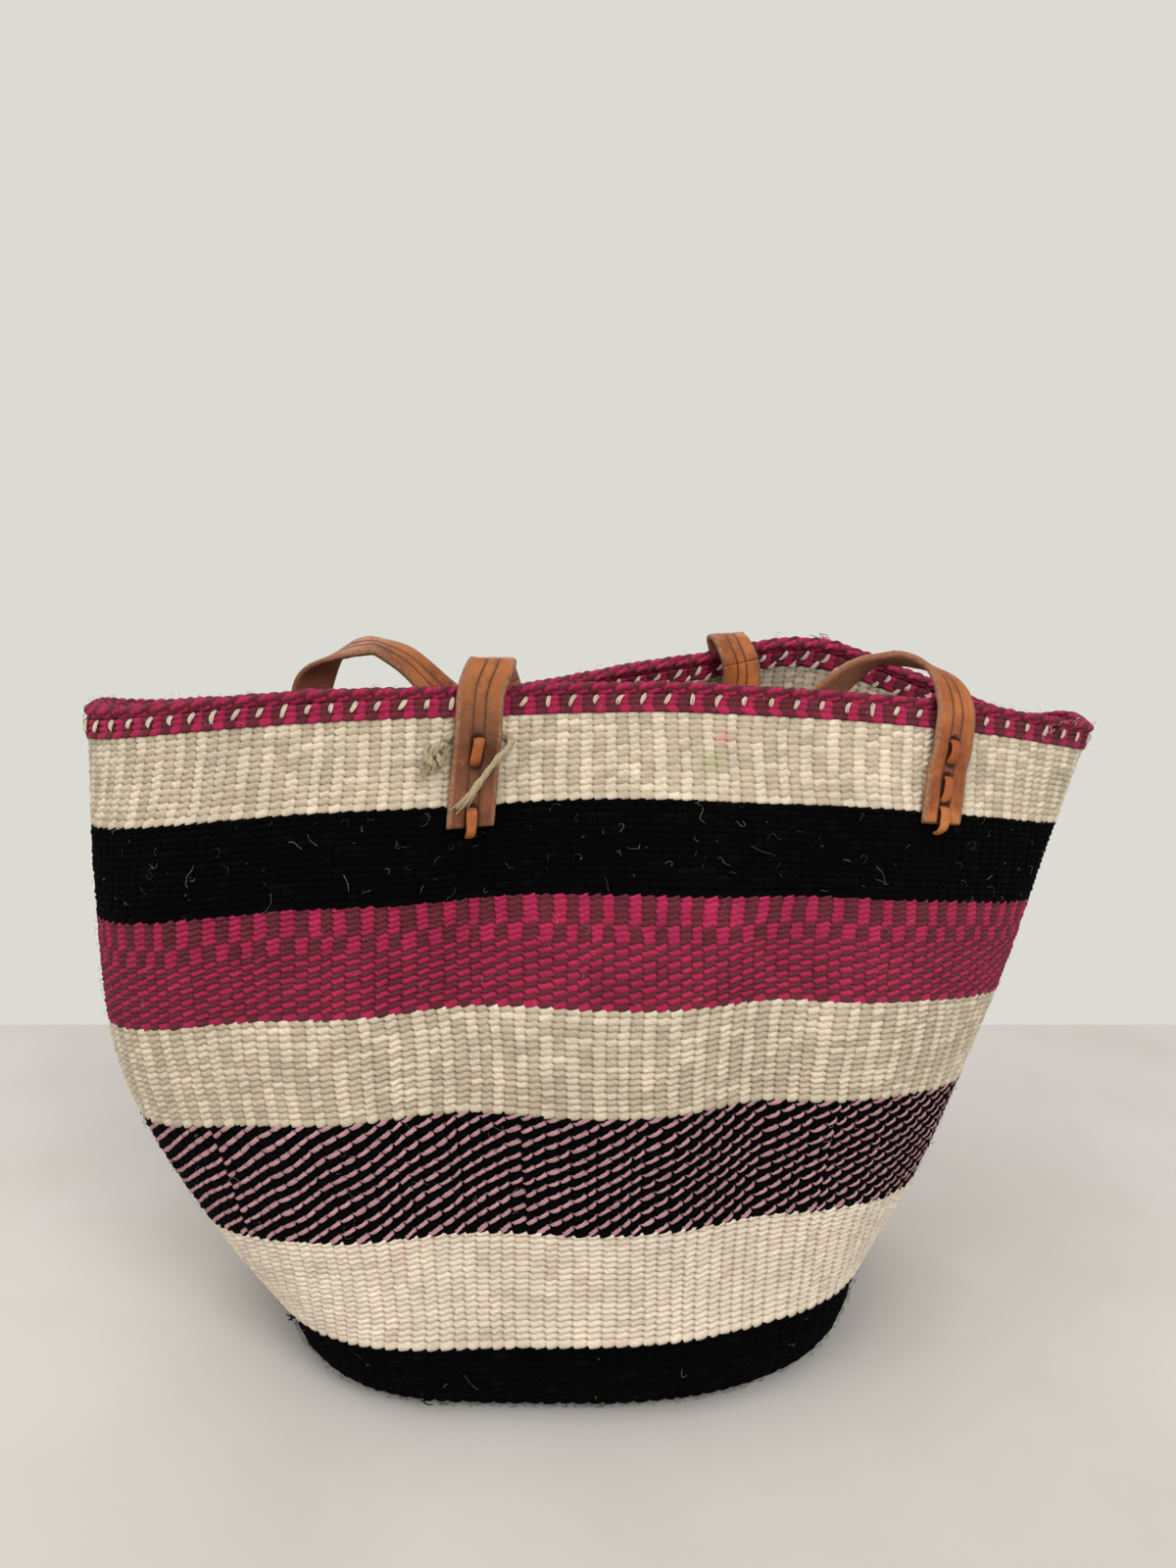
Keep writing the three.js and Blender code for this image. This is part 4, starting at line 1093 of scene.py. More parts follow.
def strap_route(
    fold_at, arch_at, fold_rise, fold_shift, fold_slide, arch_rise, reach, inside, tilt
):
    """The middle line of one strap from tab end to tab end: up the fold tab, over the rim in a
    tight fold, down in a hanging loop, up into the arch, and down the other tab. A stop of the
    loop is the fold crest + its way along and inwards - its share of the drop. The width turns
    by the twist from along the span to across it, and the leather then leans by the tilt."""
    fold_crest = on_wall(fold_at, WALL_LENGTH, CREST_DEPTH) + UP * fold_rise
    fold_crest = fold_crest + round_way(fold_at, WALL_LENGTH) * fold_shift
    out = out_of_wall(arch_at, WALL_LENGTH) * [1, 1, 0]
    arch_crest = on_wall(arch_at, WALL_LENGTH, CREST_DEPTH)
    arch_crest = arch_crest - round_way(arch_at, WALL_LENGTH) * reach - unit(out) * inside
    arch_crest[2] = on_wall(arch_at, WALL_LENGTH)[2] + arch_rise
    axis = unit(arch_crest - fold_crest)
    span = np.linalg.norm(arch_crest - fold_crest)
    inward = unit(np.cross(UP, axis))
    up = np.cross(axis, inward)

    fold_tab, fold_width, over, over_width = leave_tab(
        fold_at, FOLD_TAB_END, FOLD_TAB_LEAN, FOLD_PULL, fold_crest, -inward, axis, FOLD_STEPS
    )
    arch_tab, arch_width, rise, rise_width = leave_tab(
        arch_at, ARCH_TAB_END, ARCH_TAB_LEAN, ARCH_PULL, arch_crest, axis, inward, ARCH_STEPS
    )

    route = [(0, 0, 0, 0, 0, 0), *LOOP_DOWN, *((a * span, *rest) for a, *rest in LOOP_RISE)]
    route = np.array([*route, (span, 0, 0, 90, CREST_TILT, 0)], float)
    far, in_by, drop, twist, lift, slide = route.T
    stops = fold_crest + (far + fold_slide * slide)[:, None] * axis
    stops = stops + in_by[:, None] * inward - drop[:, None] * LOOP_DROP * up
    loop = smooth_curve(stops, LOOP_STEPS)
    key = np.arange(len(loop)) / LOOP_STEPS
    last = len(route) - 1
    twist = np.radians(along(twist, key / last))[:, None]
    loop_width = axis * np.cos(twist) - inward * np.sin(twist)

    path = np.concatenate([fold_tab, over, loop[1:-1], rise[::-1], arch_tab[::-1][1:]])
    width = [fold_width, over_width, loop_width[1:-1], -rise_width[::-1], -arch_width[::-1][1:]]
    before = TAB_STEPS + FOLD_STEPS
    lift = np.concatenate([
        np.zeros(before - 1),
        along(lift, key / last)[:-1],
        CREST_TILT * s_curve(ARCH_STEPS)[::-1, 0] ** 2,
        np.zeros(TAB_STEPS - 1),
    ])
    after = len(path) - before + 2 - len(key)
    keys = np.concatenate([np.linspace(-1, 0, before), key[1:-1], last + np.linspace(0, 1, after)])
    extra = np.stack([keys, np.radians(tilt) * lift], -1)
    length, path, width, extra = even_path(path, ROUTE_STEP, np.concatenate(width), extra)
    path = softened(path, ROUTE_SOFT)
    ahead = tangents(path)
    width = softened(width, WIDTH_SOFT)
    cut = np.exp(-np.minimum(length, length[-1] - length) / END_ZONE)[:, None]
    width = unit(width - (1 - cut) * ahead * np.sum(width * ahead, -1, keepdims=True))
    width = width * np.cos(extra[:, 1:]) + np.cross(width, ahead) * np.sin(extra[:, 1:])
    return {
        "length": length, "path": path, "width": width, "keys": extra[:, 0],
        "fold_crest": fold_crest, "arch_crest": arch_crest, "axis": axis, "inward": inward,
    }


TOP_HALF = np.array([0.8, 1.7, 2.3, 2.9, 3.6, 4.8, 6, 7.2, 8.4])
TOP_ACROSS = np.concatenate([-TOP_HALF[::-1], [0], TOP_HALF])
UNDER_ACROSS = np.array([8.2, 6.4, 4.3, 2.1, 0, -2.1, -4.3, -6.4, -8.2])
GROOVE_AT, GROOVE_HALF_WIDTH, GROOVE_DEPTH = 2.3, 0.42, 0.42
EDGE_WIDTH, EDGE_HALF_HEIGHT, EDGE_FACES_FROM = 1.1, 1.15, 8
EDGE_TURN, EDGE_TO_UNDER = [65, 30, 0, -35, -70], [0, 0, 0.2, 0.7, 1]


def strap_outline():
    """The strap's edge-on shape: a slightly crowned top with two pressed grooves, rounded edges and
    a flat underside, with how much of each point is pressed, edge and underside."""
    half_wide, half_thick = STRAP_WIDTH / 2, STRAP_THICKNESS / 2
    pressed = np.exp(-(((np.abs(TOP_ACROSS) - GROOVE_AT) / GROOVE_HALF_WIDTH) ** 2))
    top = half_thick - 0.3 * np.abs(TOP_ACROSS / half_wide) ** 3 - GROOVE_DEPTH * pressed
    turn = np.radians(EDGE_TURN)
    round_edge = [TOP_HALF[-1] + EDGE_WIDTH * np.cos(turn), EDGE_HALF_HEIGHT * np.sin(turn)]
    edge = np.stack(round_edge, -1)
    under = np.stack([UNDER_ACROSS, np.full(len(UNDER_ACROSS), -half_thick)], -1)
    outline = np.concatenate([np.stack([TOP_ACROSS, top], -1), edge, under, edge[::-1] * [-1, 1]])
    is_pressed = np.concatenate([pressed, np.zeros(len(outline) - len(top))])
    on_edge = np.ones(len(edge))
    is_edge = [np.abs(TOP_ACROSS) > EDGE_FACES_FROM, on_edge, np.zeros(len(under)), on_edge]
    is_under = [np.zeros(len(top)), EDGE_TO_UNDER, np.ones(len(under)), EDGE_TO_UNDER[::-1]]
    return outline, is_pressed, np.concatenate(is_edge), np.concatenate(is_under)


def holes_of(at, depths, lean):
    """Where each stitch of a lace goes in and out of a tab: pairs of points on the tab's face."""
    s = RIM_FOOT - np.array(depths)
    return on_wall(tab_place(at, s, lean), s, tab_distance(s) + STRAP_THICKNESS / 2)


# How deep a tab sinks round a lace and how far, and the radii over which its painted shade fades
HOLE_DEPTH, SUNK_RADIUS, HOLE_SHADE_RADII = 0.7, 2.9, (2.3, 3.2)


def press_holes(points, grain, under, holes):
    """How sunk each point of a tab is, and how much painted shade it gets for the dark opening of a
    hole and the lace's shadow: both fall off with the distance from the line between a stitch's two
    holes, and only the top side has them."""
    painted_hole_shade, sunk = np.zeros(points.shape[:2]), np.zeros(points.shape[:2])
    for high, low in holes:
        span = low - high
        share = np.clip(np.sum((points - high) * span, -1) / np.sum(span * span), 0, 1)[..., None]
        apart = points - high - share * span
        facing = (under < 0.1) * np.exp(-((np.sum(apart * grain, -1) / STRAP_THICKNESS) ** 2))
        away = np.linalg.norm(apart, axis=-1)
        sunk = np.maximum(sunk, np.exp(-((away / SUNK_RADIUS) ** 4)) * facing)
        # Painted shade: dark next to the lace, fading out between the two radii
        painted_hole_shade = np.maximum(painted_hole_shade, (1 - smoothstep(away, *HOLE_SHADE_RADII)) * facing)
    return painted_hole_shade, sunk


SPARE = 3
# Painted shade on the tabs: the brightness at a tab's end, and the lengths over which it goes up to
# full
TAB_PAINTED_SHADE, TAB_PAINTED_SHADE_ZONE = 0.42, (38, 75)
UNEVEN_WIDTH, FLESH_ROUGHNESS = 0.008, 0.05


def cut_strap(name, route, first, last, holes, seed, painted_light_tone):
    """A length of the strap between two places of the route, as a closed piece: a point is the path
    + across times the width + up times the grain side's direction. Its painted light tone goes from
    one brightness at the fold to another at the arch, and painted shade makes it darker on the tab
    below the fold."""
    start, end = np.searchsorted(route["keys"], [first, last])
    end = min(end, len(route["keys"]) - 1)
    part = slice(max(start - SPARE, 0), min(end + SPARE + 1, len(route["path"])))
    path, side, length = route["path"][part], unit(route["width"][part]), route["length"][part]
    outline, pressed, edge, under = strap_outline()
    rng = np.random.default_rng(seed)
    uneven = slow_wave(rng, length / 300, (3, 8, 17))[:, None, None]
    outline = outline * (1 + UNEVEN_WIDTH * uneven * np.array([1, 0]))
    grain = unit(np.cross(side, tangents(path)))[:, None]
    points = path[:, None] + side[:, None] * outline[..., :1] + grain * outline[..., 1:]
    painted_hole_shade, sunk = press_holes(points, grain, under, holes)
    points = points - grain * (HOLE_DEPTH * sunk)[..., None]
    rough = rng.normal(0, FLESH_ROUGHNESS, painted_hole_shade.shape + (1,))
    points = points + rough * grain * under[None, :, None]
    keep = slice(start - part.start, end - part.start + 1)
    points, painted_hole_shade, outline, length = points[keep], painted_hole_shade[keep], outline[keep], length[keep]
    n, m = painted_hole_shade.shape
    quads, ends = tube_faces(n, m)
    # Painted light and shade: fold brightness going over to arch brightness, and a darker tab below
    # the fold
    share = smoothstep(length / route["length"][-1], 0.3, 0.7)
    tab = TAB_PAINTED_SHADE + (1 - TAB_PAINTED_SHADE) * smoothstep(length, *TAB_PAINTED_SHADE_ZONE)
    tone = (painted_light_tone[0] + (painted_light_tone[1] - painted_light_tone[0]) * share) * tab
    across = outline[..., 0] / 10 + 3 * (under > 0.5)
    flat = np.stack(np.broadcast_arrays(length[:, None] / 10, across), -1).reshape(-1, 2)
    numbers = {"pressed": pressed, "edge": edge, "flesh": under}
    numbers = {key: np.tile(value, n) for key, value in numbers.items()}
    piece = make_piece(
        name, points, quads, strap_leather, ends=ends,
        on_points={**numbers, "painted_hole_shade": painted_hole_shade, "painted_light_tone": np.repeat(tone, m)},
        uv=flat[quads],
    )
    return piece


def hang_strap(name, sizes, seed, painted_light_tone):
    """One strap in three lengths: the fold over the rim, the arch, and the hanging loop between
    them, which is attached to the handle."""
    route = strap_route(**sizes)
    body = name + "_handle"
    fold_holes = holes_of(sizes["fold_at"], FOLD_STITCHES, FOLD_TAB_LEAN)
    arch_holes = holes_of(sizes["arch_at"], ARCH_STITCHES, ARCH_TAB_LEAN)
    fold = cut_strap(name + "_strap_over_rim", route, -1, LOOP_STARTS, fold_holes, seed, painted_light_tone)
    loop = cut_strap(name + "_strap_hanging", route, LOOP_STARTS, LOOP_ENDS, [], seed, painted_light_tone)
    tip = route["keys"][-1]
    arch = cut_strap(name + "_strap_arch", route, LOOP_ENDS, tip, arch_holes, seed, painted_light_tone)
    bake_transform(fold)
    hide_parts(name + "_strap_fold_end")
    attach(loop, body)
    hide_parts(name + "_strap_loop")
    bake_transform(arch)
    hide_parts(name + "_strap_arch_end")


# Each strap's painted light tone at its fold and at its arch
hang_strap("front", FRONT_STRAP, 41, (1.17, 1.26))
hang_strap("rear", REAR_STRAP, 42, (1.5, 1.0))


# The laces: a flat thong, and the cord that its knots are drawn as
LACE_INSIDE = -WALL_THICKNESS - 1.3
LACE_HALF_THICKNESS = 0.75
LACE_AROUND, KNOT_AROUND, KNOT_STEPS, KNOT_SIZE = 14, 8, 48, 0.95


def tie_knot(centre, side, up, out):
    """A small overhand knot, as a closed loop that goes twice round while it weaves in and out
    three times: (sin t + 2 sin 2t, cos t - 2 cos 2t, -0.8 sin 3t)."""
    t = np.linspace(0, 2 * np.pi, KNOT_STEPS + 1)
    across, upward = np.sin(t) + 2 * np.sin(2 * t), np.cos(t) - 2 * np.cos(2 * t)
    loop = np.stack([across, upward, -0.8 * np.sin(3 * t)], -1)
    return centre + KNOT_SIZE * (loop @ np.stack([side, up, out]))


def lace_stops(depths, rng):
    """The places that a thong passes: up the wall, out of it, and to the side. For each stitch it
    comes from inside through wall and tab, lies over the tab, and goes in again."""
    stops = [(RIM_FOOT - depths[0][0] + 4, LACE_INSIDE, 0)]
    for depth_in, depth_out in depths:
        high, low = RIM_FOOT - depth_in, RIM_FOOT - depth_out
        half = (high + low) / 2
        side = rng.uniform(-0.4, 0.4)
        face = tab_distance(np.array([high, half, low])) + STRAP_THICKNESS / 2
        top, middle, bottom = face + LACE_HALF_THICKNESS
        stops += [
            (high + 0.4, LACE_INSIDE, side),
            (high + 0.2, -2, side),
            (high + 0.1, top - 2.3, side),
            (high - 1.5, top, side),
            (half, middle + 0.45, 0),
            (low + 1.5, bottom, -side),
            (low - 0.1, bottom - 2.3, -side),
            (low - 0.2, -2, -side),
            (low - 0.4, LACE_INSIDE, -side),
        ]
    return [*stops, (RIM_FOOT - depths[-1][1] - 4, LACE_INSIDE, 0)]


def lace_tab(name, node, at, depths, lean, seed):
    """A flat thong that goes out and in through the tab and the wall, knotted inside at both ends:
    a flat oval carried along a smooth line of places up the wall and out of it."""
    rng = np.random.default_rng(seed)
    line = smooth_curve(lace_stops(depths, rng), 10)
    v = tab_place(at, line[:, 0], lean) + line[:, 2] / length_round(at, line[:, 0])
    path = on_wall(v, line[:, 0], line[:, 1])
    _, path, line = even_path(path, 0.7, line)
    v = tab_place(at, line[:, 0], lean)
    outer = smoothstep(line[:, 1], 0.5, 4.0)
    half_width = 1.65 + 0.45 * outer + 0.12 * slow_wave(rng, np.arange(len(path)) / 60, (2, 5))
    angle = circle(LACE_AROUND)
    oval = np.sign(angle) * np.abs(angle) ** 0.75
    half_sizes = np.stack([half_width, np.full(len(path), LACE_HALF_THICKNESS)], -1)
    points = sweep(path, round_way(v, line[:, 0]), oval * half_sizes[:, None])
    quads, ends = tube_faces(len(path), LACE_AROUND)
    parts, faces = [points.reshape(-1, 3)], [quads]
    for end, way in ((0, 1), (-1, -1)):
        side, out = round_way(v[end], line[end, 0]), out_of_wall(v[end], line[end, 0])
        up = np.cross(out, side)
        centre = path[end] + up * 2.0 * way - out * 0.4
        knot = tie_knot(centre, side, up, out)
        facing = np.broadcast_to(out, knot.shape) + 0.3 * unit(knot - centre)
        count = sum(len(part) for part in parts)
        parts.append(sweep(knot, facing, circle(KNOT_AROUND))[:-1].reshape(-1, 3))
        faces.append(ring_quads(KNOT_STEPS, KNOT_AROUND, count, closed=True))
    points, quads = np.concatenate(parts), np.concatenate(faces)
    order = np.concatenate([np.arange(len(part)) for part in parts])
    flat = np.stack([order / (10 * LACE_AROUND), order % LACE_AROUND / LACE_AROUND], -1)
    # The laces get no painted light tone: 1 all along
    piece = make_piece(
        name, points, quads, lace_leather, ends=ends, on_points={"painted_light_tone": np.ones(len(points))},
        uv=flat[quads],
    )
    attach(piece, "basket")
    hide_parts(node)


LACES = (("fold", FOLD_STITCHES, FOLD_TAB_LEAN, 51), ("arch", ARCH_STITCHES, ARCH_TAB_LEAN, 53))
for later, (strap, places) in enumerate((("front", FRONT_STRAP), ("rear", REAR_STRAP))):
    for end, depths, lean, seed in LACES:
        name, node = f"{strap}_{end}_thong", f"{strap}_{end}_end_lace"
        lace_tab(name, node, places[end + "_at"], depths, lean, seed + later)


# The jute twine runs from its knot, behind the front left tab and back over it, to its frayed end.
# Its places are how far round from the tab's middle line, down from the rim band, and out
TWINE_DIAMETER = 2.4
TWINE_ROUTE = np.array([
    (-13, 11.5, 3.4), (-11.3, 10, 2.2), (-8.5, 8.8, 1.6), (-4, 8.2, 1.5), (4, 8.2, 1.5),
    (9, 8.6, 1.6), (12.6, 10.2, 2.4), (13.4, 13, 4.6), (12.2, 16.3, 6.6), (8.5, 20, 6.8),
    (4.5, 25.5, 5.8), (1, 31, 5.6), (-2.5, 37, 5.7),
])
TWINE_AROUND, TWINE_STEP, TWINE_TURN = 12, 0.45, 8
FRONT_FOLD = FRONT_STRAP["fold_at"]
FRAYS, FRAYS_AT_END, FRAY_STATIONS = 60, 34, 9
PLIES, PLY_TURN, PLY_HALF_THICKNESS = 22, 4.5, 0.26


def beside_tab(places):
    """Places given as round from the tab's middle, down from the rim, and out, as wall places."""
    s = RIM_FOOT - places[..., 1]
    v = tab_place(FRONT_FOLD, s, FOLD_TAB_LEAN) + places[..., 0] / length_round(FRONT_FOLD, s)
    return v, s, places[..., 2]


def two_ply(name, path, side):
    """Two strands wound round each other: the outline is two half-width circles side by side, a
    rounded figure of eight that turns once in TWINE_TURN. Where it dips between the strands, the
    finish paints shade."""
    length, path, side = even_path(path, TWINE_STEP, side)
    phi = -np.arange(TWINE_AROUND) * 2 * np.pi / TWINE_AROUND
    turn = length[:, None] * 2 * np.pi / TWINE_TURN
    radius = TWINE_DIAMETER / 2 * np.maximum(np.abs(np.cos(phi - turn)), 0.6) ** 0.7
    points = sweep(path, side, circle(TWINE_AROUND) * radius[..., None])
    quads, ends = tube_faces(len(path), TWINE_AROUND)
    flat = np.stack(np.broadcast_arrays(length[:, None] / 2, (phi - turn) / 3), -1).reshape(-1, 2)
    piece = make_piece(
        name, points, quads, jute_fibre, ends=ends,
        # painted shade where the outline dips between the two plies
        on_points={"painted_crevice_shade": 1 - radius / (TWINE_DIAMETER / 2)}, uv=flat[quads],
    )
    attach(piece, "basket")
    return piece, length[-1], path


def wind_knot():
    """The knot of the twine: a small ball of loops, three sines of different turns."""
    t = np.linspace(0, 1, 190)
    wraps = np.stack([
        -16.2 + 4.4 * np.sin(2 * np.pi * 3.1 * t) * (0.7 + 0.3 * np.sin(5 * t)),
        18.0 + 4.2 * np.sin(2 * np.pi * 4.3 * t + 1) - 0.8 * t,
        4.1 + 2.0 * np.cos(2 * np.pi * 5.2 * t + 1),
    ], -1)
    v, s, d = beside_tab(wraps)
    path = on_wall(v, s, d)
    knot, _, _ = two_ply("twine_knot", path, np.broadcast_to(round_way(v[0], s[0]), path.shape))
    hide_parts("tag_twine_knot")
    return knot


def fray_twine():
    """Loose fibres at the twine's end and its knot: each starts near the place and goes off along
    its heading, with a bend that grows with the square of the way. Their number at the end and
    the looseness there differ from those at the knot."""
    rng = np.random.default_rng(61)
    at_end = (np.arange(FRAYS) < FRAYS_AT_END)[:, None]
    t = np.linspace(0, 1, FRAY_STATIONS)[None, :, None]
    start = np.where(at_end, [[-0.5, 33.5, 5.7]], [[-17, 21, 4.5]])[:, None]
    heading = np.where(at_end, [[-5.0, 6.0, 0]], [[-2, 4, 0]])[:, None]
    loose = np.where(at_end, 0.45, 1.0)[:, None]
    heading = heading * rng.uniform(0.7, 1.15, (FRAYS, 1, 1))
    heading = heading + loose * rng.normal(0, [1.6, 1.1, 0.5], (FRAYS, 1, 3))
    places = start + rng.normal(0, 0.65, (FRAYS, 1, 3)) + heading * t
    places = places + loose * rng.normal(0, 0.8, (FRAYS, 1, 3)) * t**2
    thin = 0.3 * (1.1 - t[..., 0] * 0.5)
    v, s, d = beside_tab(places)
    frays = tubes_on_wall("twine_fibres", v, s, d, thin, thin, 5, jute_fibre, "jute")
    spread = rng.uniform(0.8, 1.25, (PLIES, 1)) * TWINE_DIAMETER / 2
    stations = np.arange(len(TWINE_ROUTE))
    turn = stations * 2 * np.pi / PLY_TURN + rng.uniform(0, 2 * np.pi, (PLIES, 1))
    v, s, d = beside_tab(TWINE_ROUTE)
    strands = tubes_on_wall(
        "twine_strands", v + spread * np.cos(turn) / length_round(v, s),
        s + spread * np.sin(turn), d + 0.5 * np.sin(turn),
        PLY_HALF_THICKNESS, PLY_HALF_THICKNESS, 5, jute_fibre, "jute",
    )
    return frays, strands


def tie_twine():
    """The twine on a smooth line through its places, and with it its knot and loose fibres."""
    v, s, d = beside_tab(TWINE_ROUTE)
    path = smooth_curve(on_wall(v, s, d), 16)
    side = np.broadcast_to(out_of_wall(v[3], s[3]), path.shape)
    twine, length, ring_centres = two_ply("twine", path, side)
    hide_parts("tag_twine")
    knot = wind_knot()
    frays, strands = fray_twine()


tie_twine()


# Stray fibres and loose ends. A zone is the height it starts and ends at, and how many hairs
HAIR_ZONES = [
    (232, 272, 300), (186, 232, 120), (86, 141, 130), (310, 322, 90), (272, 310, 24),
    (2, 38, 70), (141, 186, 20),
]
HAIR_STATIONS, FUZZ_STATIONS, END_STATIONS = 10, 5, 7
HAIR_LIFT, HAIR_LIFT_FROM = 1.2, 309
FIBRE_LOWEST, HAIR_HIGHEST, FIBRE_HIGHEST = 3, 322, 325
BLACK_ENDS = [(0.5635, 118), (0.5972, 37), (0.6799, 17), (0.8076, 20)]
RIM_ENDS = [(0.955, 314), (0.962, 318), (0.97, 321), (0.1292, 323)]


def head_off(v0, s0, reach, heading):
    """Where a fibre goes: reach times the heading's sine up the wall, times its cosine round."""
    s = np.clip(s0 + reach * np.sin(heading), FIBRE_LOWEST, FIBRE_HIGHEST)
    return v0 + reach * np.cos(heading) / length_round(v0, s0), s


def scatter_hairs():
    """Fine pale fibres caught on the cloth: each wanders along the wall in small steps, turning as
    it goes, and lifts off it in the middle."""
    rng = np.random.default_rng(71)
    s0 = [rng.uniform(low + 1, high - 1, n) for low, high, n in HAIR_ZONES]
    s0 = np.concatenate(s0)[:, None]
    count = len(s0)
    v0 = rng.random((count, 1))
    t = np.linspace(0, 1, HAIR_STATIONS)[None]
    heading = rng.uniform(0, 2 * np.pi, (count, 1)) + rng.normal(0, 2.6, (count, 1)) * t
    bend = rng.uniform(0, 0.9, (count, 1))
    heading = heading + bend * np.sin(rng.uniform(4, 10, (count, 1)) * t)
    step = rng.gamma(2.4, 1.8, (count, 1)).clip(1.5, 13) / HAIR_STATIONS
    s = np.clip(s0 + np.cumsum(np.sin(heading) * step, 1), FIBRE_LOWEST, HAIR_HIGHEST)
    v = v0 + np.cumsum(np.cos(heading) * step, 1) / length_round(v0, s0)
    lift = rng.uniform(0.2, 1.4, (count, 1)) * np.sin(np.pi * t) ** 0.7
    d = 0.5 + lift + HAIR_LIFT * (s > HAIR_LIFT_FROM)
    thin = 0.012 + 0.036 * rng.random((count, 1)) ** 3
    tubes_on_wall(
        "stray_fibres", v, s, d, thin, thin, 4, pale_wool, "pale_cream_yarn",
        yarn=np.zeros(count), tone=rng.random(count),
    )


def add_fuzz(name, finish, slot, count, low, high, reach, thick, yarns, seed):
    """Short fibres of the wool itself that stand off the cloth between two heights."""
    rng = np.random.default_rng(seed)
    t = np.linspace(0, 1, FUZZ_STATIONS)[None]
    s0, v0 = rng.uniform(low, high, (count, 1)), rng.random((count, 1))
    heading = rng.uniform(0, 2 * np.pi, (count, 1)) + rng.normal(0, 1.5, (count, 1)) * t
    v, s = head_off(v0, s0, rng.uniform(0.4, 1, (count, 1)) * reach * t, heading)
    d = 0.6 + rng.uniform(0.2, 0.5, (count, 1)) * reach * np.sin(np.pi * t * 0.8)
    tubes_on_wall(
        name, v, s, d, thick, thick, 3, finish, slot,
        yarn=rng.integers(0, yarns, count), tone=rng.random(count),
    )


def fray_ends(rng, name, finish, slot, places, each, thick, length, yarns):
    """Loose ends of yarn near some places of the wall: each goes off along a heading that turns
    with the way, rises off the cloth and thins."""
    t = np.linspace(0, 1, END_STATIONS)[None]
    v0, s0 = (np.repeat(part, each)[:, None] for part in np.array(places).T)
    n = len(v0)
    aside = rng.normal(0, 1.2, (n, 1)) / length_round(v0, s0)
    v0, s0 = v0 + aside, s0 + rng.normal(0, 1.0, (n, 1))
    heading = rng.uniform(-0.5, 3.6, (n, 1)) + rng.normal(0, 1.2, (n, 1)) * t
    v, s = head_off(v0, s0, length * rng.uniform(0.4, 1.2, (n, 1)) * t, heading)
    d = 0.5 + 2.2 * np.sin(np.pi * t * 0.7) * rng.uniform(0.4, 1, (n, 1))
    thin = thick * (1.1 - 0.5 * t)
    yarn = rng.choice(yarns, n) if yarns else np.zeros(n)
    tubes_on_wall(name, v, s, d, thin, thin, 5, finish, slot, yarn=yarn, tone=rng.random(n))


def add_yarn_ends():
    """Loose ends of yarn: four black ones low on the front, and frayed rim yarn at the right end
    of the mouth and on the rear rim."""
    rng = np.random.default_rng(73)
    fray_ends(rng, "black_yarn_ends", black_wool, "black_yarn", BLACK_ENDS, 3, 0.35, 5, [])
    rim_yarns = [0, 1, 1, 2]
    fray_ends(rng, "rim_yarn_ends", rim_wool, "rim_yarn", RIM_ENDS, 11, 0.22, 4.5, rim_yarns)


scatter_hairs()
add_fuzz("rim_fuzz", rim_wool, "rim_yarn", 900, 312, 324, 3.6, 0.05, 2, 72)
add_fuzz("pink_fuzz", pink_wool, "pink_yarn", 500, 187, 231, 3.2, 0.045, 2, 74)
add_fuzz("black_fuzz", black_wool, "black_yarn", 1500, 4, 37, 3.4, 0.06, 1, 75)
add_fuzz("mixed_fuzz", mixed_wool, "black_and_pink_yarn", 700, 87, 140, 3.0, 0.05, 1, 76)
add_yarn_ends()


# The stage: a pale ground, an even room and four soft lamps
BACKDROP_COLOUR = seen(220, 219, 211)
FLOOR_EDGE, GROUND_HALF = 0.26, 9
ROOM_COLOUR, ROOM_STRENGTH = (0.9, 0.92, 0.95, 1), 0.45


def direct_sight(nodes, links):
    """1 for what the camera sees itself, in a gloss or through glass, 0 for what lights the room:
    the greatest of three numbers of the ray."""
    path = nodes.new("ShaderNodeLightPath")
    total = path.outputs["Is Camera Ray"]
    for kind in ("Is Glossy Ray", "Is Transmission Ray"):
        either = nodes.new("ShaderNodeMath")
        either.operation = "MAXIMUM"
        links.new(total, either.inputs[0])
        links.new(path.outputs[kind], either.inputs[1])
        total = either.outputs[0]
    return total


def ground_paint(name, base, mottle, low, high):
    """Matt paint with a faint mottle: base and mottle mixed by a noise. Between two distances from
    the basket it goes over into the even pale colour of the backdrop, as the camera sees it."""
    f = Finish(name)
    tone = f.noise(f.place(), 6.0, 4.0, 0.55)
    matt = f.node("BsdfDiffuse", {"Color": f.mix(base, mottle, f.between(tone, 0.3, 0.7))})
    even = f.node("Emission", {"Color": BACKDROP_COLOUR, "Strength": 1.0})
    away = f.node("VectorMath", {0: f.place()}, operation="LENGTH").outputs["Value"]
    tree = f.material.node_tree
    share = f.math("MULTIPLY", f.between(away, low, high), direct_sight(tree.nodes, tree.links))
    both = f.node("MixShader", {0: share, 1: matt.outputs[0], 2: even.outputs[0]})
    f.node("OutputMaterial", {"Surface": both.outputs[0]})
    return f.material


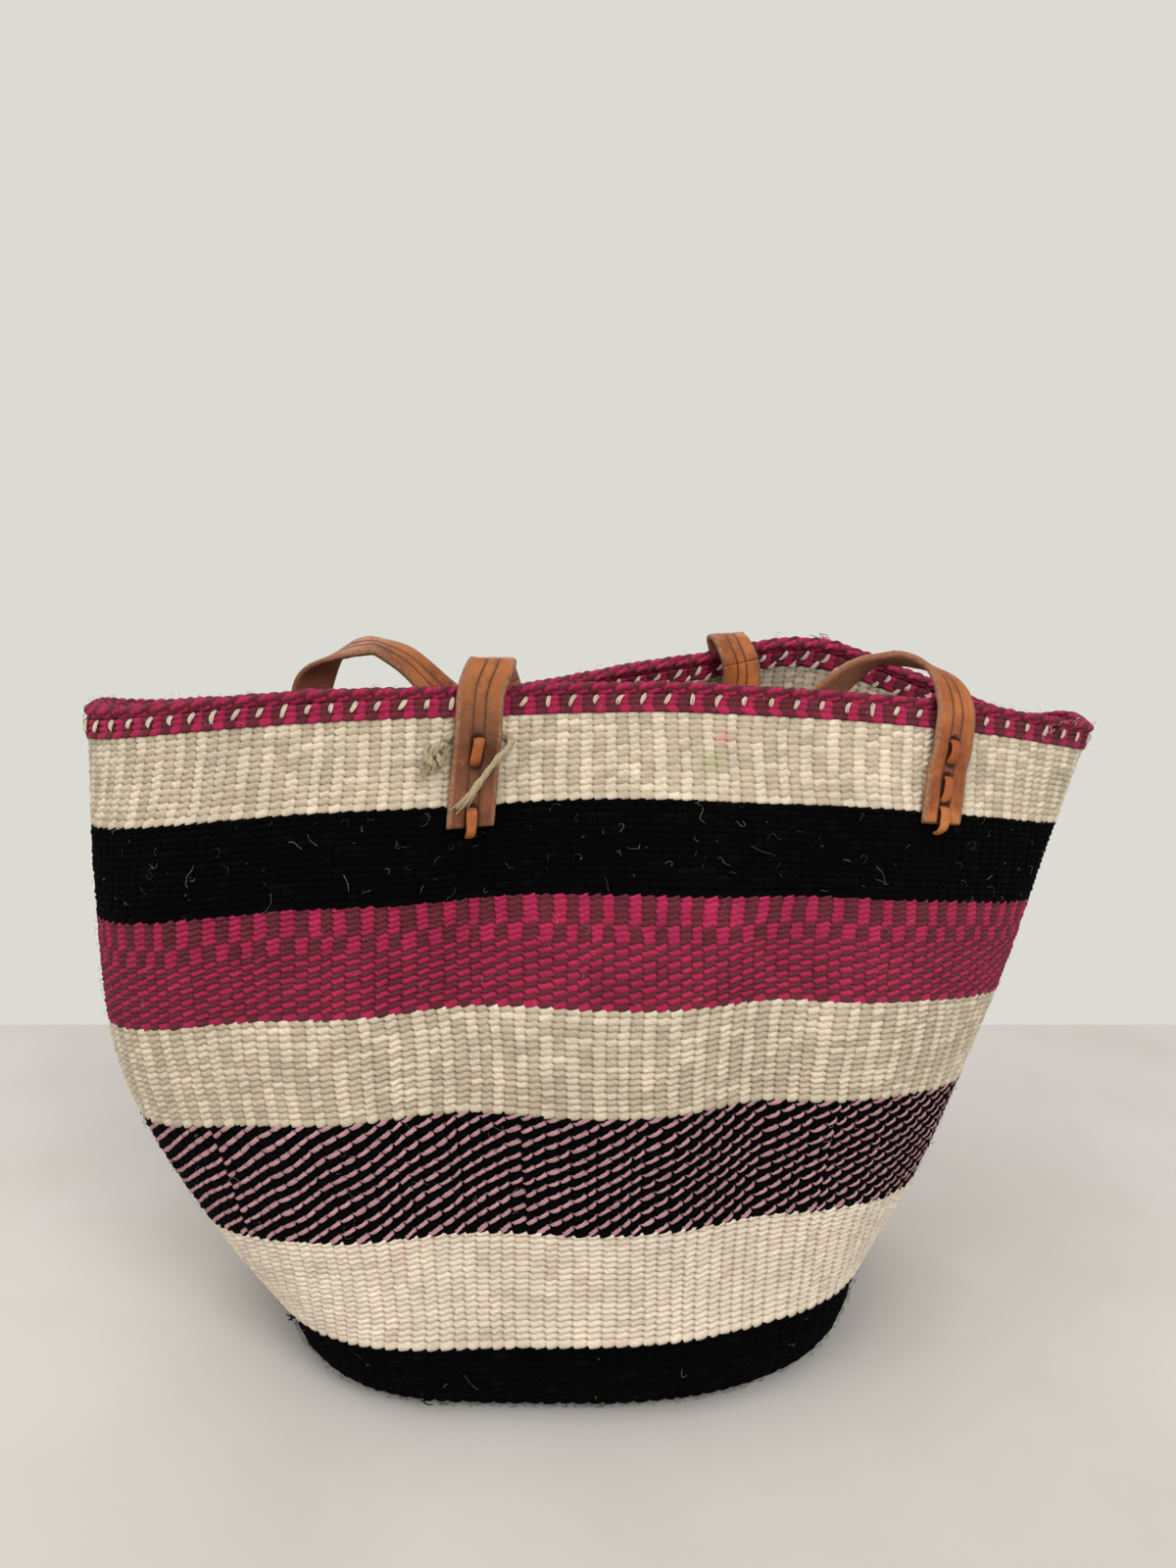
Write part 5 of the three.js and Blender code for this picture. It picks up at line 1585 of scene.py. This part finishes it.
def build_stage():
    """Two flat sheets: a pale floor, and behind the basket a paler ground, which goes over into
    the backdrop's colour and hides nothing from behind."""
    floor_tones = seen(204, 199, 192), seen(196, 190, 182)
    backdrop_tones = seen(212, 212, 206), seen(206, 206, 199)
    floor_paint = ground_paint("floor paint", *floor_tones, 0.7, 2.4)
    backdrop_paint = ground_paint("backdrop paint", *backdrop_tones, 0.0, 0.1)
    wide = GROUND_HALF
    for name, near, far, paint in (
        ("floor", -GROUND_HALF, FLOOR_EDGE, floor_paint),
        ("backdrop", FLOOR_EDGE, GROUND_HALF, backdrop_paint),
    ):
        mesh = bpy.data.meshes.new(name)
        corners = [(-wide, near, 0), (wide, near, 0), (wide, far, 0), (-wide, far, 0)]
        mesh.from_pydata(corners, [], [(0, 1, 2, 3)])
        mesh.materials.append(paint)
        sheet = bpy.data.objects.new(name, mesh)
        bpy.context.scene.collection.objects.link(sheet)


def light_room():
    """A dim even room all round, which the camera sees as pale as the backdrop."""
    world = bpy.data.worlds.new("room light")
    world.use_nodes = True
    nodes, links = world.node_tree.nodes, world.node_tree.links
    room = nodes["Background"]
    room.inputs["Color"].default_value = ROOM_COLOUR
    room.inputs["Strength"].default_value = ROOM_STRENGTH
    pale = nodes.new("ShaderNodeBackground")
    pale.inputs["Color"].default_value = BACKDROP_COLOUR
    both = nodes.new("ShaderNodeMixShader")
    links.new(direct_sight(nodes, links), both.inputs[0])
    links.new(room.outputs[0], both.inputs[1])
    links.new(pale.outputs[0], both.inputs[2])
    links.new(both.outputs[0], nodes["World Output"].inputs["Surface"])
    bpy.context.scene.world = world


def light(name, place, target, size, power):
    """A round lamp that faces the target: it tips by the angle of the way down to it and turns by
    the angle of the way round."""
    lamp = bpy.data.lights.new(name, "AREA")
    lamp.shape = "DISK"
    lamp.size = size
    lamp.energy = power
    holder = bpy.data.objects.new(name, lamp)
    holder.location = place
    way = np.array(target) - np.array(place)
    flat = math.hypot(way[0], way[1])
    holder.rotation_euler = (math.pi / 2 + math.atan2(way[2], flat), 0, math.atan2(-way[0], way[1]))
    bpy.context.scene.collection.objects.link(holder)


build_stage()
light("window", (1.1, -1.9, 1.9), (0, 0, 0.15), 1.6, 42)
light("room", (-1.8, -1.4, 1.3), (0, 0, 0.15), 2.2, 24)
light("ceiling", (0.0, -0.3, 2.4), (0, 0, 0), 2.0, 16)
light("rear", (-0.4, 1.9, 1.5), (0, 0, 0.15), 2.2, 20)

light_room()
bpy.context.scene.view_settings.view_transform = "Standard"
